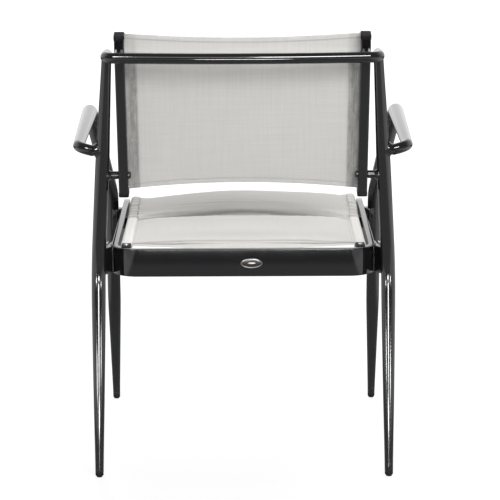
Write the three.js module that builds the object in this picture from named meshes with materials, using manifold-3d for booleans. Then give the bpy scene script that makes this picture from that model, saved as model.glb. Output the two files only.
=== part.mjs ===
import * as THREE from 'three';
import { mergeVertices } from 'three/addons/utils/BufferGeometryUtils.js';
import Module from 'manifold-3d';

// A sling patio chair: black tube frame, woven back sling between two stiles, padded seat sling in a
// bent seat hoop. Millimetres, +Z up, the sitter faces -Y and has +X on the left.

// Clearances
const gap = 0.3;                     // between pieces that touch
const overrun = 5;                   // how far a cutter passes the face it cuts
const boltClearance = 0.3;           // round a bolt's shank in its hole

// Seat hoop, a flat bar bent round the sides and the back of the seat
const seatTop = 417.6;               // height of its top edge
const hoopHeight = 52;
const hoopThickness = 12;
const hoopEdgeRadius = 2.5;
const hoopCornerRadius = 50;         // outside of its rear corners
const hoopRear = 152.8;              // its rear face
const hoopLength = 457.8;            // rear face to front ends

// Rear uprights, one tapering tube each, with a knee at the seat
const kneeSpread = 533;              // between the two centres at the knee
const kneeHeight = 388;
const kneeInset = 4.8;               // knee centre in front of the hoop's rear face
const kneeBend = 240;
const rearFootSplay = 1.5;           // foot centre outside the knee's centre
const rearFootKick = 65;             // foot centre behind the knee
const rearFootRadius = 7.5;
const uprightRadius = 13;
const topInset = 29;                 // upright's top centre inside the knee's centre
const topRadius = 8.4;
const topTaperLength = 190;          // over which the upright narrows to its top
const backLean = 13.5;               // degrees from upright, shared by uprights and stiles

// Top rail, bowed backwards, its ends turned forward onto the uprights
const topRailRise = 371;             // its centre above the hoop's top edge
const topRailRadius = 9.5;
const topRailSetBack = 42;           // rail ends behind the tops of the uprights
const topRailBow = 16;
const topRailElbow = 22;
const topRailChamfer = 1.5;

// Front legs that go on as armrests
const frontLegRadius = 13.15;
const frontFootRadius = 7.1;
const frontFootTaperHeight = 210;
const frontFootKick = 8;             // foot centre in front of the leg's centre at the seat
const frontFootToeIn = 1.5;          // foot centre inside the leg's centre at the seat
const frontLegInset = 40;            // leg's centre behind the hoop's front ends
const armLeanHeight = 440;           // where the leg starts to lean outwards
const armLeanBend = 150;
const armFlare = 39;                 // arm's front corner outside the leg
const armFrontSetBack = 15;          // arm's front corner behind the leg's centre
const armFrontHeight = 612;
const armFrontRadius = 15;
const armFrontBend = 38;
const armRearHeight = 617;
const armReach = 45;                 // arm's centre outside the upright's centre at the elbow
const armRearRadius = 10;
const armRearBend = 25;
const armEndRadius = 9.6;
const armEndDrop = 5.5;              // arm's end under its rear elbow
const armFlareInset = 0.5;           // weld flare at the upright, narrower than the upright by this
const armFlareLength = 9;

// Foot glides
const glideHeight = 7;               // from the floor to the tube's end, along the leg
const glideTreadRadius = 5.2;
const glideTreadHeight = 3;
const footBoreRadius = 4.6;
const glidePlugLength = 18;

// Brackets and bolts that hold the hoop between the legs
const bracketGap = 9;                // hoop's side face to the upright's surface
const frontBracketWidth = 9.35;      // hoop's side face to the front leg's surface
const bracketDrop = 1;               // rear bracket's top and bottom inside the hoop's edges
const rearBracketLead = 12;          // its front end in front of its bolt
const rearBracketInset = 38;         // its rear end on the hoop, in front of the hoop's rear face
const frontBracketLength = 28;
const frontBracketHeight = 42;
const seatBoltRadius = 3;
const seatBoltHeadRadius = 6;
const seatBoltHeadHeight = 4;
const rearBoltInset = 60;            // bolt axis in front of the hoop's rear face
const boltUnderLug = 3.5;            // seat bolts' heads under the rear lugs
const seatBoltBite = 6;              // how far a front bolt enters the leg

// Front stretcher
const stretcherRadius = 11;
const stretcherInset = 83;           // its centre behind the hoop's front ends
const stretcherDrop = 33;            // its centre under the hoop's top edge

// Seat rails inside the sling's side sleeves
const sleeveSlit = 7.3;              // hoop's inner face to the sleeve
const sleeveThickness = 1.4;
const sleeveTopDrop = 1.1;           // sleeve's top under the hoop's top edge
const railWidth = 14;
const railHeight = 14;
const railWall = 2;
const railCornerRadius = 4;
const railKinkInset = 130;           // where the rails start to rise, behind the hoop's front ends
const railKinkBend = 150;
const railNoseRise = 9.2;
const railNoseInset = 9;             // nose behind the hoop's front ends
const railNoseBend = 26;
const railFrontStraight = 9;         // straight stretch at the rail's turned-down end
const sleeveSwell = 5;               // how far the gathered sleeve stands off the rail at the front

// End blocks of the seat rails, their lugs and screws
const rearBlockLength = 38;
const rearBlockRise = 1.4;           // block's top above the hoop's top edge
const rearBlockHeight = 20;
const blockPlugLength = 22;
const frontBlockHeight = 11.5;
const lugThickness = 4;
const lugLength = 27;
const screwRadius = 2;
const screwHeadRadius = 4;
const screwHeadHeight = 2.2;
const frontScrewBite = 7;            // how far a front block screw enters the hoop

// Padded seat sling between the sleeves
const padRearSide = 104;             // rear hem at the sides
const padRearBow = 28;               // how far the hem's middle reaches further back
const padFrontDrop = 3;              // front hem above the rail's front end
const padSeamBow = 22;               // seam's ends behind its middle
const padRearTop = 8;                // top surface over the rail's centre line, right before the hem
const padTop = 10;                   // the same over the main panel
const padEdgeTop = 6;                // the same along the sleeves
const padUnder = -3;                 // underside over the rail's centre line
const padEdgeUnder = -1.2;
const padSeamTop = 6;
const rollShoulder = 18;             // top surface right after the seam
const rollTop = 28;                  // crest of the front roll
const rollNose = 22;
const rollFront = 6;
const rollEdgeShoulder = 9;
const rollEdgeTop = 11;
const rollEdgeFront = 5;
const hemTop = 6;
const hemUnder = 2;

// Back stiles, extrusions with a channel for the sling and a chamber for the bolts
const stileWidth = 17.5;
const stileDepth = 25;
const stileCorner = 3;
const stileWall = 2;
const stileBelowBolt = 39;           // its lower end under the lower bolt
const stileAboveRail = 36.4;         // its upper end above the top rail's centre
const stileCapHeight = 8;
const stilePlugLength = 12;
const channelRadius = 3.9;
const channelDepth = 6;              // channel centre inside the stile's inner face
const channelForward = 5.5;          // channel centre in front of the stile's centre
const channelMouth = 3.4;

// Lower spacers and bolts between stile and upright
const lowerBoltRise = 146.4;         // above the hoop's top edge
const lowerSpacerLength = 12.3;
const lowerSpacerRadius = 7.25;
const bossLength = 4;
const bossRootRadius = 10;
const lowerBoltRadius = 3;
const lowerBoltHeadRadius = 6.8;
const lowerBoltHeadHeight = 4.6;
const lowerBoltBite = 9;             // how far it enters the upright

// Upper stand-offs and bolts between stile and top rail
const standOffRadius = 7;
const upperBoltRadius = 2.5;
const upperBoltHead = 9;             // side of its square head
const upperBoltHeadHeight = 3;
const upperBoltBite = 7;             // how far it enters the top rail

// Back sling
const slingThickness = 1.1;
const bandThickness = 2.2;           // doubled cloth along the stiles
const bandWidth = 15;
const slingUnderHead = 0.5;          // its upper corners under the stile's upper end
const slingAboveFoot = 9.5;          // its lower corners above the stile's lower end
const slingTopSag = 8.4;
const slingFootRise = 12;
const slingBelly = 3;
const rodRadius = 2.1;

// Badge
const badgeWidth = 40;
const badgeHeight = 18;
const badgeThickness = 2.2;
const badgeField = 0.8;              // how deep its field lies under the rim
const badgeOffset = 15;              // its centre beside the chair's middle
const badgeDrop = 26.6;              // its centre under the hoop's top edge

// Steps of the round shapes
const tubeSides = 16;
const smallSides = 12;
const beadSides = 8;
const bendStep = THREE.MathUtils.degToRad(13);

const paint = new THREE.MeshStandardMaterial({ color: 0x151517, roughness: 0.18, metalness: 0.1 });
const nylon = new THREE.MeshStandardMaterial({ color: 0x1c1c1d, roughness: 0.55, metalness: 0 });
const steel = new THREE.MeshStandardMaterial({ color: 0xb9babc, roughness: 0.3, metalness: 1 });
const badgeMetal = new THREE.MeshStandardMaterial({ color: 0xc9c5bd, roughness: 0.25, metalness: 1 });
const backCloth = new THREE.MeshStandardMaterial({ color: 0xc9c8c3, roughness: 0.85, metalness: 0 });
const seatCloth = new THREE.MeshStandardMaterial({ color: 0xd9d6d0, roughness: 0.85, metalness: 0 });
const rodPlastic = new THREE.MeshStandardMaterial({ color: 0xe4e3df, roughness: 0.5, metalness: 0 });

const wasm = await Module();
wasm.setup();

const alongX = new THREE.Vector3(1, 0, 0);
const alongZ = new THREE.Vector3(0, 0, 1);
const at = (x, y, z) => new THREE.Vector3(x, y, z);

// Solids

function closedGeometry(corners, faces) {
  let volume = 0;
  const [a, b, c] = [0, 1, 2].map(() => new THREE.Vector3());
  for (let i = 0; i < faces.length; i += 3) {
    a.fromArray(corners, 3 * faces[i]);
    b.fromArray(corners, 3 * faces[i + 1]);
    c.fromArray(corners, 3 * faces[i + 2]);
    volume += a.dot(b.cross(c));
  }
  const outward = volume > 0 ? faces : [...faces].reverse();
  const geometry = new THREE.BufferGeometry();
  geometry.setAttribute('position', new THREE.Float32BufferAttribute(corners, 3));
  geometry.setIndex(outward);
  geometry.computeVertexNormals();
  return geometry;
}

// Joins one ring of points per station into a closed body. The contour runs counter-clockwise and the
// holes clockwise, and place turns a point of them into a point in space at a station. The lid lists
// the triangles of an end.
function loft(stations, contour, holes, place, lid = THREE.ShapeUtils.triangulateShape(contour, holes)) {
  const loops = [contour, ...holes];
  const flat = loops.flat();
  const corners = stations.flatMap((station) => flat.flatMap((p) => place(p, station).toArray()));
  const faces = [];
  for (let ring = 0; ring + 1 < stations.length; ring++) {
    let first = ring * flat.length;
    for (const loop of loops) {
      for (let i = 0; i < loop.length; i++) {
        const here = first + i;
        const next = first + ((i + 1) % loop.length);
        faces.push(here, next, next + flat.length, here, next + flat.length, here + flat.length);
      }
      first += loop.length;
    }
  }
  const last = (stations.length - 1) * flat.length;
  for (const [p, q, r] of lid) {
    faces.push(p, r, q, last + p, last + q, last + r);
  }
  return closedGeometry(corners, faces);
}

// Lid of a long flat section: a row of points from 0 on, and the row that runs back opposite it.
function stripLid(count, oppositeFirst) {
  return Array.from({ length: count - 1 }, (_, i) => [
    [i, i + 1, oppositeFirst - i - 1],
    [i, oppositeFirst - i - 1, oppositeFirst - i],
  ]).flat();
}

// Lid over a region with a hole, both given as places in a list of points.
function regionLid(points, outline, hole) {
  const pick = (places) => places.map((i) => points[i]);
  const triangles = THREE.ShapeUtils.triangulateShape(pick(outline), [pick(hole)]);
  return triangles.map((triangle) => triangle.map((i) => [...outline, ...hole][i]));
}

const countFrom = (first, count) => Array.from({ length: count }, (_, i) => first + i);

function toSolid(geometry) {
  const bare = geometry.clone();
  bare.deleteAttribute('normal');
  bare.deleteAttribute('uv');
  const merged = mergeVertices(bare);
  return new wasm.Manifold(new wasm.Mesh({
    numProp: 3,
    vertProperties: merged.getAttribute('position').array,
    triVerts: Uint32Array.from(merged.getIndex().array),
  }));
}

function toGeometry(solid) {
  const mesh = solid.getMesh();
  const geometry = new THREE.BufferGeometry();
  geometry.setAttribute('position', new THREE.BufferAttribute(mesh.vertProperties, 3));
  geometry.setIndex(new THREE.BufferAttribute(mesh.triVerts, 1));
  geometry.computeVertexNormals();
  return geometry;
}

const cut = (geometry, ...tools) =>
  toGeometry(tools.reduce((solid, tool) => solid.subtract(toSolid(tool)), toSolid(geometry)));

const join = (geometry, ...others) =>
  toGeometry(others.reduce((solid, other) => solid.add(toSolid(other)), toSolid(geometry)));

function mirrored(geometry) {
  const copy = geometry.clone().applyMatrix4(new THREE.Matrix4().makeScale(-1, 1, 1));
  copy.setIndex([...copy.getIndex().array].reverse());
  copy.computeVertexNormals();
  return copy;
}

// A box between two corners.
function block(low, high) {
  const size = high.clone().sub(low);
  const geometry = new THREE.BoxGeometry(size.x, size.y, size.z);
  const centre = low.clone().add(high).multiplyScalar(0.5);
  return geometry.translate(centre.x, centre.y, centre.z);
}

// Outlines

function circle(sides, scale = 1) {
  return Array.from({ length: sides }, (_, i) => {
    const angle = (2 * Math.PI * i) / sides;
    return new THREE.Vector2(scale * Math.cos(angle), scale * Math.sin(angle));
  });
}

function roundedRectangle(width, height, radius, steps = 2) {
  const points = [];
  [[1, 1, 0], [-1, 1, 1], [-1, -1, 2], [1, -1, 3]].forEach(([right, up, quarter]) => {
    for (let i = 0; i <= steps; i++) {
      const angle = (quarter + i / steps) * Math.PI / 2;
      points.push(new THREE.Vector2(
        right * (width / 2 - radius) + radius * Math.cos(angle),
        up * (height / 2 - radius) + radius * Math.sin(angle),
      ));
    }
  });
  return points;
}

// Centre lines

// Stations along a line through corners { at, bend, radius }, each corner rounded by its bend radius.
function centreLine(corners) {
  const stations = [];
  corners.forEach(({ at: corner, bend = 0, radius }, i) => {
    if (!bend) {
      stations.push({ at: corner.clone(), radius });
      return;
    }
    const back = corners[i - 1].at.clone().sub(corner).normalize();
    const onward = corners[i + 1].at.clone().sub(corner).normalize();
    const turn = Math.PI - back.angleTo(onward);
    const start = corner.clone().addScaledVector(back, bend * Math.tan(turn / 2));
    const end = corner.clone().addScaledVector(onward, bend * Math.tan(turn / 2));
    const handle = (4 / 3) * Math.tan(turn / 4) * bend;
    const arc = new THREE.CubicBezierCurve3(
      start,
      start.clone().addScaledVector(back, -handle),
      end.clone().addScaledVector(onward, -handle),
      end,
    );
    const steps = Math.max(2, Math.ceil(turn / bendStep));
    for (let k = 0; k <= steps; k++) stations.push({ at: arc.getPoint(k / steps), radius });
  });
  return stations;
}

// Gives each station its direction and two cross directions, carried along without twist.
function framed(stations, firstSide) {
  const side = firstSide.clone();
  return stations.map((station, i) => {
    const before = stations[i - 1]?.at ?? station.at;
    const after = stations[i + 1]?.at ?? station.at;
    const onward = after.clone().sub(station.at).normalize();
    const direction = station.at.clone().sub(before).normalize().add(onward).normalize();
    side.addScaledVector(direction, -side.dot(direction)).normalize();
    return { ...station, side: side.clone(), up: direction.clone().cross(side), direction };
  });
}

const acrossStation = (p, { at: centre, side, up, radius = 1 }) =>
  centre.clone().addScaledVector(side, p.x * radius).addScaledVector(up, p.y * radius);

function tube(stations, sides = tubeSides, firstSide = alongX, spare = 0) {
  const grown = stations.map((station) => ({ ...station, radius: station.radius + spare }));
  return loft(framed(grown, firstSide), circle(sides), [], acrossStation);
}

function rod(from, to, radius, sides = smallSides) {
  const direction = to.clone().sub(from).normalize();
  const firstSide = Math.abs(direction.x) < 0.5 ? alongX : alongZ;
  return tube([{ at: from, radius }, { at: to, radius }], sides, firstSide);
}

// The station of a rising centre line at a height.
function atHeight(stations, height) {
  const i = Math.max(1, stations.findIndex((station) => station.at.z >= height));
  const [low, high] = [stations[i - 1], stations[i]];
  const share = (height - low.at.z) / (high.at.z - low.at.z);
  return {
    at: low.at.clone().lerp(high.at, share),
    radius: THREE.MathUtils.lerp(low.radius, high.radius, share),
  };
}

// The value at a share in a table of [share, value], smoothed between its entries.
function smoothShares(shares, share) {
  const i = Math.min(shares.length - 1, Math.max(1, shares.findIndex(([s]) => s >= share)));
  const [[s0, v0], [s1, v1]] = [shares[i - 1], shares[i]];
  return THREE.MathUtils.lerp(v0, v1, THREE.MathUtils.smoothstep(share, s0, s1));
}

// Shared places

const leanSlope = Math.tan(THREE.MathUtils.degToRad(backLean));
const hoopBottom = seatTop - hoopHeight;
const topRailHeight = seatTop + topRailRise;
const lowerBoltHeight = seatTop + lowerBoltRise;
const hoopFront = hoopRear - hoopLength;
const frontLegY = hoopFront + frontLegInset;
const railKinkY = hoopFront + railKinkInset;
const kneeX = kneeSpread / 2;
const kneeY = hoopRear - kneeInset;
const hoopOuterX = kneeX - uprightRadius - bracketGap;
const hoopInnerX = hoopOuterX - hoopThickness;
const frontLegX = hoopOuterX + frontBracketWidth + frontLegRadius;

const rearFoot = at(kneeX + rearFootSplay, kneeY + rearFootKick, 0);
const knee = at(kneeX, kneeY, kneeHeight);
const uprightTop = at(kneeX - topInset, kneeY + (topRailHeight - kneeHeight) * leanSlope, topRailHeight);

// Radius of the rear leg as shares of its way up to the knee and of its growth.
const rearTaperShares = [[0.353, 0.5], [0.64, 0.82], [0.833, 1]];
const topTaperShares = [[0, 0.96], [0.11, 0.76], [1, 0]];

const rearLegCorners = rearTaperShares.map(([height, growth]) => ({
  at: rearFoot.clone().lerp(knee, height),
  radius: THREE.MathUtils.lerp(rearFootRadius, uprightRadius, growth),
}));
const topTaperStart = 1 - topTaperLength / uprightTop.distanceTo(knee);
const topCorners = topTaperShares.map(([way, growth]) => ({
  at: knee.clone().lerp(uprightTop, THREE.MathUtils.lerp(topTaperStart, 1, way)),
  radius: THREE.MathUtils.lerp(topRadius, uprightRadius, growth),
}));
const uprightLine = centreLine([
  { at: rearFoot, radius: rearFootRadius },
  ...rearLegCorners,
  { at: knee, bend: kneeBend, radius: uprightRadius },
  ...topCorners,
]);

const elbowCentre = atHeight(uprightLine, armRearHeight);
const elbow = at(elbowCentre.at.x + armReach, elbowCentre.at.y, armRearHeight);
const armCorner = at(frontLegX + armFlare, frontLegY + armFrontSetBack, armFrontHeight);
const frontFoot = at(frontLegX - frontFootToeIn, frontLegY - frontFootKick, 0);
const frontLegHip = at(frontLegX, frontLegY, armLeanHeight);
const armJoint = atHeight(uprightLine, armRearHeight - armEndDrop);
const armEnd = armJoint.at;
const armFlareStart = at(armEnd.x + armJoint.radius + armFlareLength, armEnd.y, armEnd.z);
const frontLine = centreLine([
  { at: frontFoot, radius: frontFootRadius },
  { at: frontFoot.clone().lerp(frontLegHip, frontFootTaperHeight / armLeanHeight), radius: frontLegRadius },
  { at: frontLegHip, bend: armLeanBend, radius: frontLegRadius },
  { at: armCorner, bend: armFrontBend, radius: armFrontRadius },
  { at: elbow, bend: armRearBend, radius: armRearRadius },
  { at: armFlareStart, radius: armEndRadius },
  { at: armEnd, radius: armJoint.radius - armFlareInset },
]);

// Back plane: x across, n rearwards from the stiles' centre and t up along the stiles from the lower bolts.
const leanAngle = THREE.MathUtils.degToRad(backLean);
const backUp = at(0, Math.sin(leanAngle), Math.cos(leanAngle));
const backRear = at(0, Math.cos(leanAngle), -Math.sin(leanAngle));
const channelN = -channelForward;
const chamberFrontN = channelN + channelRadius + stileWall;
const chamberRearN = stileDepth / 2 - stileWall;
const chamberN = (chamberFrontN + chamberRearN) / 2;
const boltJoint = atHeight(uprightLine, lowerBoltHeight);
const bossFaceX = boltJoint.at.x - boltJoint.radius - bossLength;
const stileOuterX = bossFaceX - gap - lowerSpacerLength - gap;
const stileX = stileOuterX - stileWidth / 2;
const stileInnerX = stileOuterX - stileWidth;
const backOrigin = at(0, boltJoint.at.y, boltJoint.at.z).addScaledVector(backRear, -chamberN);
const onBack = (x, n, t) =>
  backOrigin.clone().addScaledVector(backRear, n).addScaledVector(backUp, t).setX(x);
const backTFor = (height) => (height - backOrigin.z) / backUp.z;

// Top rail

const railEndY = uprightTop.y + topRailSetBack;
function topRailLine() {
  const half = uprightTop.x;
  const bowShares = [0.8, 0.6, 0.4, 0.2, 0];
  const bowAt = (share) => at(half * share, railEndY + topRailBow * (1 - share * share), topRailHeight);
  const stubY = uprightTop.y - topRailRadius;
  const leftHalf = [
    { at: at(half, stubY, topRailHeight), radius: topRailRadius - topRailChamfer },
    { at: at(half, stubY + topRailChamfer, topRailHeight), radius: topRailRadius },
    { at: at(half, railEndY, topRailHeight), bend: topRailElbow, radius: topRailRadius },
    ...bowShares.map((share) => ({ at: bowAt(share), radius: topRailRadius })),
  ];
  const rightHalf = leftHalf.slice(0, -1).reverse().map((corner) => ({
    ...corner,
    at: corner.at.clone().setX(-corner.at.x),
  }));
  return centreLine([...leftHalf, ...rightHalf]);
}
const topRailStations = topRailLine();
const topRailBowAt = (x) => railEndY + topRailBow * (1 - (x / uprightTop.x) ** 2);

// The upper stand-off runs square to the stile, through the top rail's centre.
const railBehindStile = at(stileX, topRailBowAt(stileX), topRailHeight);
const standOffT = railBehindStile.clone().sub(backOrigin).dot(backUp);
const standOffEndN = railBehindStile.clone().sub(backOrigin).dot(backRear);

function topRail() {
  const socketEnd = onBack(stileX, standOffEndN - topRailRadius + upperBoltBite + gap, standOffT);
  const socket = rod(onBack(stileX, 0, standOffT), socketEnd, upperBoltRadius + boltClearance);
  return cut(tube(topRailStations, tubeSides, alongZ), socket, mirrored(socket));
}

// Rear upright with its foot bore, its saddle for the top rail, its boss and the boss's bolt hole
function rearUpright() {
  const [foot, next] = uprightLine;
  const boss = tube([
    { at: boltJoint.at, radius: bossRootRadius },
    { at: at(bossFaceX + bossLength, boltJoint.at.y, boltJoint.at.z), radius: bossRootRadius },
    { at: at(bossFaceX, boltJoint.at.y, boltJoint.at.z), radius: lowerSpacerRadius },
  ], tubeSides, alongZ);
  const hole = rod(
    at(bossFaceX - overrun, boltJoint.at.y, boltJoint.at.z),
    at(bossFaceX + lowerBoltBite + gap, boltJoint.at.y, boltJoint.at.z),
    lowerBoltRadius + boltClearance,
  );
  const saddle = tube(topRailStations, tubeSides, alongZ, gap);
  return cut(join(footedTube(uprightLine), boss), footBore(foot.at, next.at), hole, saddle);
}

// Feet: the tube starts a glide's height above the floor, measured along the leg.
const legDirection = (foot, next) => next.clone().sub(foot).normalize();

function footedTube(stations) {
  const [foot, next, ...rest] = stations;
  const start = foot.at.clone().addScaledVector(legDirection(foot.at, next.at), glideHeight + gap);
  return tube([{ at: start, radius: foot.radius }, next, ...rest]);
}

function footBore(foot, next) {
  const direction = legDirection(foot, next);
  const deep = glideHeight + glidePlugLength + gap;
  return rod(foot, foot.clone().addScaledVector(direction, deep + gap), footBoreRadius);
}

function glide([foot, next]) {
  const direction = legDirection(foot.at, next.at);
  const along = (distance) => foot.at.clone().addScaledVector(direction, distance);
  const body = tube([
    { at: along(-glideTreadHeight), radius: glideTreadRadius },
    { at: along(0), radius: glideTreadRadius },
    { at: along(glideTreadHeight), radius: foot.radius },
    { at: along(glideHeight), radius: foot.radius },
  ], smallSides);
  const plug = rod(along(glideTreadHeight), along(glideHeight + glidePlugLength), footBoreRadius - gap);
  const floor = block(
    at(foot.at.x - 2 * foot.radius, foot.at.y - 2 * foot.radius, -2 * glideHeight),
    at(foot.at.x + 2 * foot.radius, foot.at.y + 2 * foot.radius, 0),
  );
  return cut(join(body, plug), floor);
}

// Front leg and armrest
const rearBlockTop = seatTop + rearBlockRise;
const rearBlockBottom = rearBlockTop - rearBlockHeight;
const lugBottom = rearBlockBottom - gap - lugThickness;
const seatBoltHeight = lugBottom - boltUnderLug - seatBoltHeadRadius;
const frontJoint = atHeight(frontLine, seatBoltHeight);

function frontLegArm() {
  const [foot, next] = frontLine;
  const bolt = rod(
    at(hoopInnerX - overrun, frontJoint.at.y, seatBoltHeight),
    at(frontJoint.at.x - frontLegRadius + seatBoltBite + gap, frontJoint.at.y, seatBoltHeight),
    seatBoltRadius + boltClearance,
  );
  const besideUpright = tube(uprightLine, tubeSides, alongX, gap);
  return cut(footedTube(frontLine), footBore(foot.at, next.at), bolt, besideUpright);
}

// Seat hoop
const hoopX = hoopOuterX - hoopThickness / 2;
const hoopMiddleHeight = seatTop - hoopHeight / 2;
const hoopRearCentreY = hoopRear - hoopThickness / 2;
const hoopBend = hoopCornerRadius - hoopThickness / 2;
const hoopStations = centreLine([
  { at: at(hoopX, hoopFront, hoopMiddleHeight) },
  { at: at(hoopX, hoopRearCentreY, hoopMiddleHeight), bend: hoopBend },
  { at: at(-hoopX, hoopRearCentreY, hoopMiddleHeight), bend: hoopBend },
  { at: at(-hoopX, hoopFront, hoopMiddleHeight) },
]);
const rearBoltY = hoopRear - rearBoltInset;

function hoopBar(spare = 0) {
  const section = roundedRectangle(hoopHeight + 2 * spare, hoopThickness + 2 * spare, hoopEdgeRadius);
  return loft(framed(hoopStations, alongZ), section, [], acrossStation);
}

function seatHoop() {
  const across = (y, z, radius) => rod(
    at(hoopInnerX - overrun, y, z),
    at(hoopOuterX + overrun, y, z),
    radius + boltClearance,
  );
  const blockScrew = rod(
    at(hoopInnerX - overrun, railNose.y, frontBlockMiddle),
    at(hoopInnerX + frontScrewBite + gap, railNose.y, frontBlockMiddle),
    screwRadius + boltClearance,
  );
  const holes = [
    across(rearBoltY, seatBoltHeight, seatBoltRadius),
    across(frontJoint.at.y, seatBoltHeight, seatBoltRadius),
    blockScrew,
  ];
  return cut(hoopBar(), ...holes, ...holes.map(mirrored));
}

function stretcher() {
  const y = hoopFront + stretcherInset;
  const z = seatTop - stretcherDrop;
  return rod(at(hoopInnerX - gap, y, z), at(gap - hoopInnerX, y, z), stretcherRadius, tubeSides);
}

// Brackets between hoop and legs, cut to both
function rearBracket() {
  const frontY = rearBoltY - rearBracketLead;
  const outline = [
    [hoopX, frontY],
    [hoopOuterX + bracketGap, frontY],
    [kneeX, kneeY - uprightRadius / 2],
    [kneeX - uprightRadius / 2, kneeY],
    [hoopX, hoopRear - rearBracketInset],
  ].map(([x, y]) => new THREE.Vector2(x, y));
  const heights = [hoopBottom + bracketDrop, seatTop - bracketDrop];
  const blank = loft(heights, outline, [], (p, height) => at(p.x, p.y, height));
  const hole = rod(
    at(hoopInnerX, rearBoltY, seatBoltHeight),
    at(hoopOuterX + bracketGap - gap, rearBoltY, seatBoltHeight),
    seatBoltRadius + boltClearance,
  );
  return cut(blank, hoopBar(gap), tube(uprightLine, tubeSides, alongX, gap), hole);
}

function frontBracket() {
  const blank = block(
    at(hoopOuterX + gap, frontJoint.at.y - frontBracketLength / 2, seatBoltHeight - frontBracketHeight / 2),
    at(frontJoint.at.x, frontJoint.at.y + frontBracketLength / 2, seatBoltHeight + frontBracketHeight / 2),
  );
  const hole = rod(
    at(hoopOuterX - overrun, frontJoint.at.y, seatBoltHeight),
    at(frontJoint.at.x, frontJoint.at.y, seatBoltHeight),
    seatBoltRadius + boltClearance,
  );
  return cut(blank, tube(frontLine, tubeSides, alongX, gap), hole);
}

// A bolt along X: a round head against a face and a shank that runs outwards from it.
function boltAlongX(faceX, tipX, y, z, headRadius, headHeight, radius) {
  const chamfer = headHeight / 4;
  const head = tube([
    { at: at(faceX - headHeight, y, z), radius: headRadius - chamfer },
    { at: at(faceX - headHeight + chamfer, y, z), radius: headRadius },
    { at: at(faceX, y, z), radius: headRadius },
  ], smallSides, alongZ);
  return join(head, rod(at(faceX - headHeight / 2, y, z), at(tipX, y, z), radius));
}

const rearSeatBolt = () => boltAlongX(
  hoopInnerX - gap, hoopOuterX + bracketGap - gap - gap, rearBoltY, seatBoltHeight,
  seatBoltHeadRadius, seatBoltHeadHeight, seatBoltRadius,
);
const frontSeatBolt = () => boltAlongX(
  hoopInnerX - gap, frontJoint.at.x - frontLegRadius + seatBoltBite, frontJoint.at.y, seatBoltHeight,
  seatBoltHeadRadius, seatBoltHeadHeight, seatBoltRadius,
);

// Seat rails: their centre line seen from the side
const sleeveOuterX = hoopInnerX - sleeveSlit;
const sleeveInset = sleeveThickness + gap;
const railX = sleeveOuterX - sleeveInset - railWidth / 2;
const sleeveInnerX = railX - railWidth / 2 - sleeveInset;
const railLevel = seatTop - sleeveTopDrop - sleeveInset - railHeight / 2;
const railNose = at(railX, hoopFront + railNoseInset, railLevel + railNoseRise);
const railRear = at(railX, padRearSide - gap, railLevel);
const noseTurn = Math.PI / 2 + Math.atan2(railNoseRise, railKinkY - railNose.y);
const railNoseDrop = railNoseBend * Math.tan(noseTurn / 2) + railFrontStraight;
const railFrontEnd = railNose.clone().setZ(railNose.z - railNoseDrop);
const frontBlockTop = railFrontEnd.z - gap;
const frontBlockMiddle = frontBlockTop - frontBlockHeight / 2;
const railSection = roundedRectangle(railWidth, railHeight, railCornerRadius, 2);
const railBore = roundedRectangle(railWidth - 2 * railWall, railHeight - 2 * railWall, railWall, 1);
const clockwise = (points) => [...points].reverse();

function railStations(rearY) {
  return framed(centreLine([
    { at: railRear.clone().setY(rearY) },
    { at: at(railX, railKinkY, railLevel), bend: railKinkBend },
    { at: railNose, bend: railNoseBend },
    { at: railFrontEnd },
  ]), alongX);
}

const seatRail = () => loft(railStations(railRear.y), railSection, [clockwise(railBore)], acrossStation);

// Sleeve round the rail: it stands off the rail more where it is gathered at the front roll.
function seatSleeve() {
  const stations = railStations(railRear.y - gap);
  const inner = roundedRectangle(railWidth + 2 * gap, railHeight + 2 * gap, railCornerRadius + gap, 2);
  const outer = roundedRectangle(
    railWidth + 2 * sleeveInset,
    railHeight + 2 * sleeveInset,
    railCornerRadius + sleeveInset,
    2,
  );
  const innerReach = railHeight / 2 + gap;
  const place = (p, station) => {
    const outside = outwardSign(station);
    const swells = station.at.y < railKinkY && outside * p.y > innerReach;
    return acrossStation(new THREE.Vector2(p.x, p.y + (swells ? outside * sleeveSwell : 0)), station);
  };
  return loft(stations.slice(0, -1).concat(endedAbove(stations.at(-1))), outer, [clockwise(inner)], place);
}

// The outward side of the rail's bend, as seen in its cross directions.
const outwardSign = (station) => Math.sign(station.up.z - station.up.y) || 1;
const endedAbove = (station) => ({ ...station, at: station.at.clone().setZ(station.at.z + gap) });

// Rear end block: a plastic block between the rail's end and the hoop, on a lug inside the hoop's corner
const rearBlockRearY = hoopRear - hoopThickness - gap;
const rearScrewY = rearBlockRearY - rearBlockLength / 2;

function plugAlong(from, to) {
  const stations = framed([{ at: from }, { at: to }], alongX);
  const width = railWidth - 2 * railWall - 2 * gap;
  const height = railHeight - 2 * railWall - 2 * gap;
  return loft(stations, roundedRectangle(width, height, railWall, 1), [], acrossStation);
}

function rearBlock() {
  const frontY = railRear.y + gap;
  const body = block(
    at(sleeveInnerX, frontY, rearBlockBottom),
    at(sleeveOuterX, rearBlockRearY, rearBlockTop),
  );
  const plug = plugAlong(
    at(railX, frontY + overrun, railLevel),
    at(railX, frontY - blockPlugLength, railLevel),
  );
  const hole = rod(
    at(railX, rearScrewY, rearBlockBottom - overrun),
    at(railX, rearScrewY, rearBlockTop + overrun),
    screwRadius + boltClearance,
  );
  return cut(join(body, plug), hole, hoopBar(gap));
}

function rearLug() {
  const blank = block(
    at(sleeveInnerX, rearBlockRearY - lugLength, lugBottom),
    at(sleeveOuterX, rearBlockRearY, lugBottom + lugThickness),
  );
  const hole = rod(
    at(railX, rearScrewY, lugBottom - overrun),
    at(railX, rearScrewY, rearBlockBottom + overrun),
    screwRadius + boltClearance,
  );
  return cut(blank, hoopBar(gap), hole);
}

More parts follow.
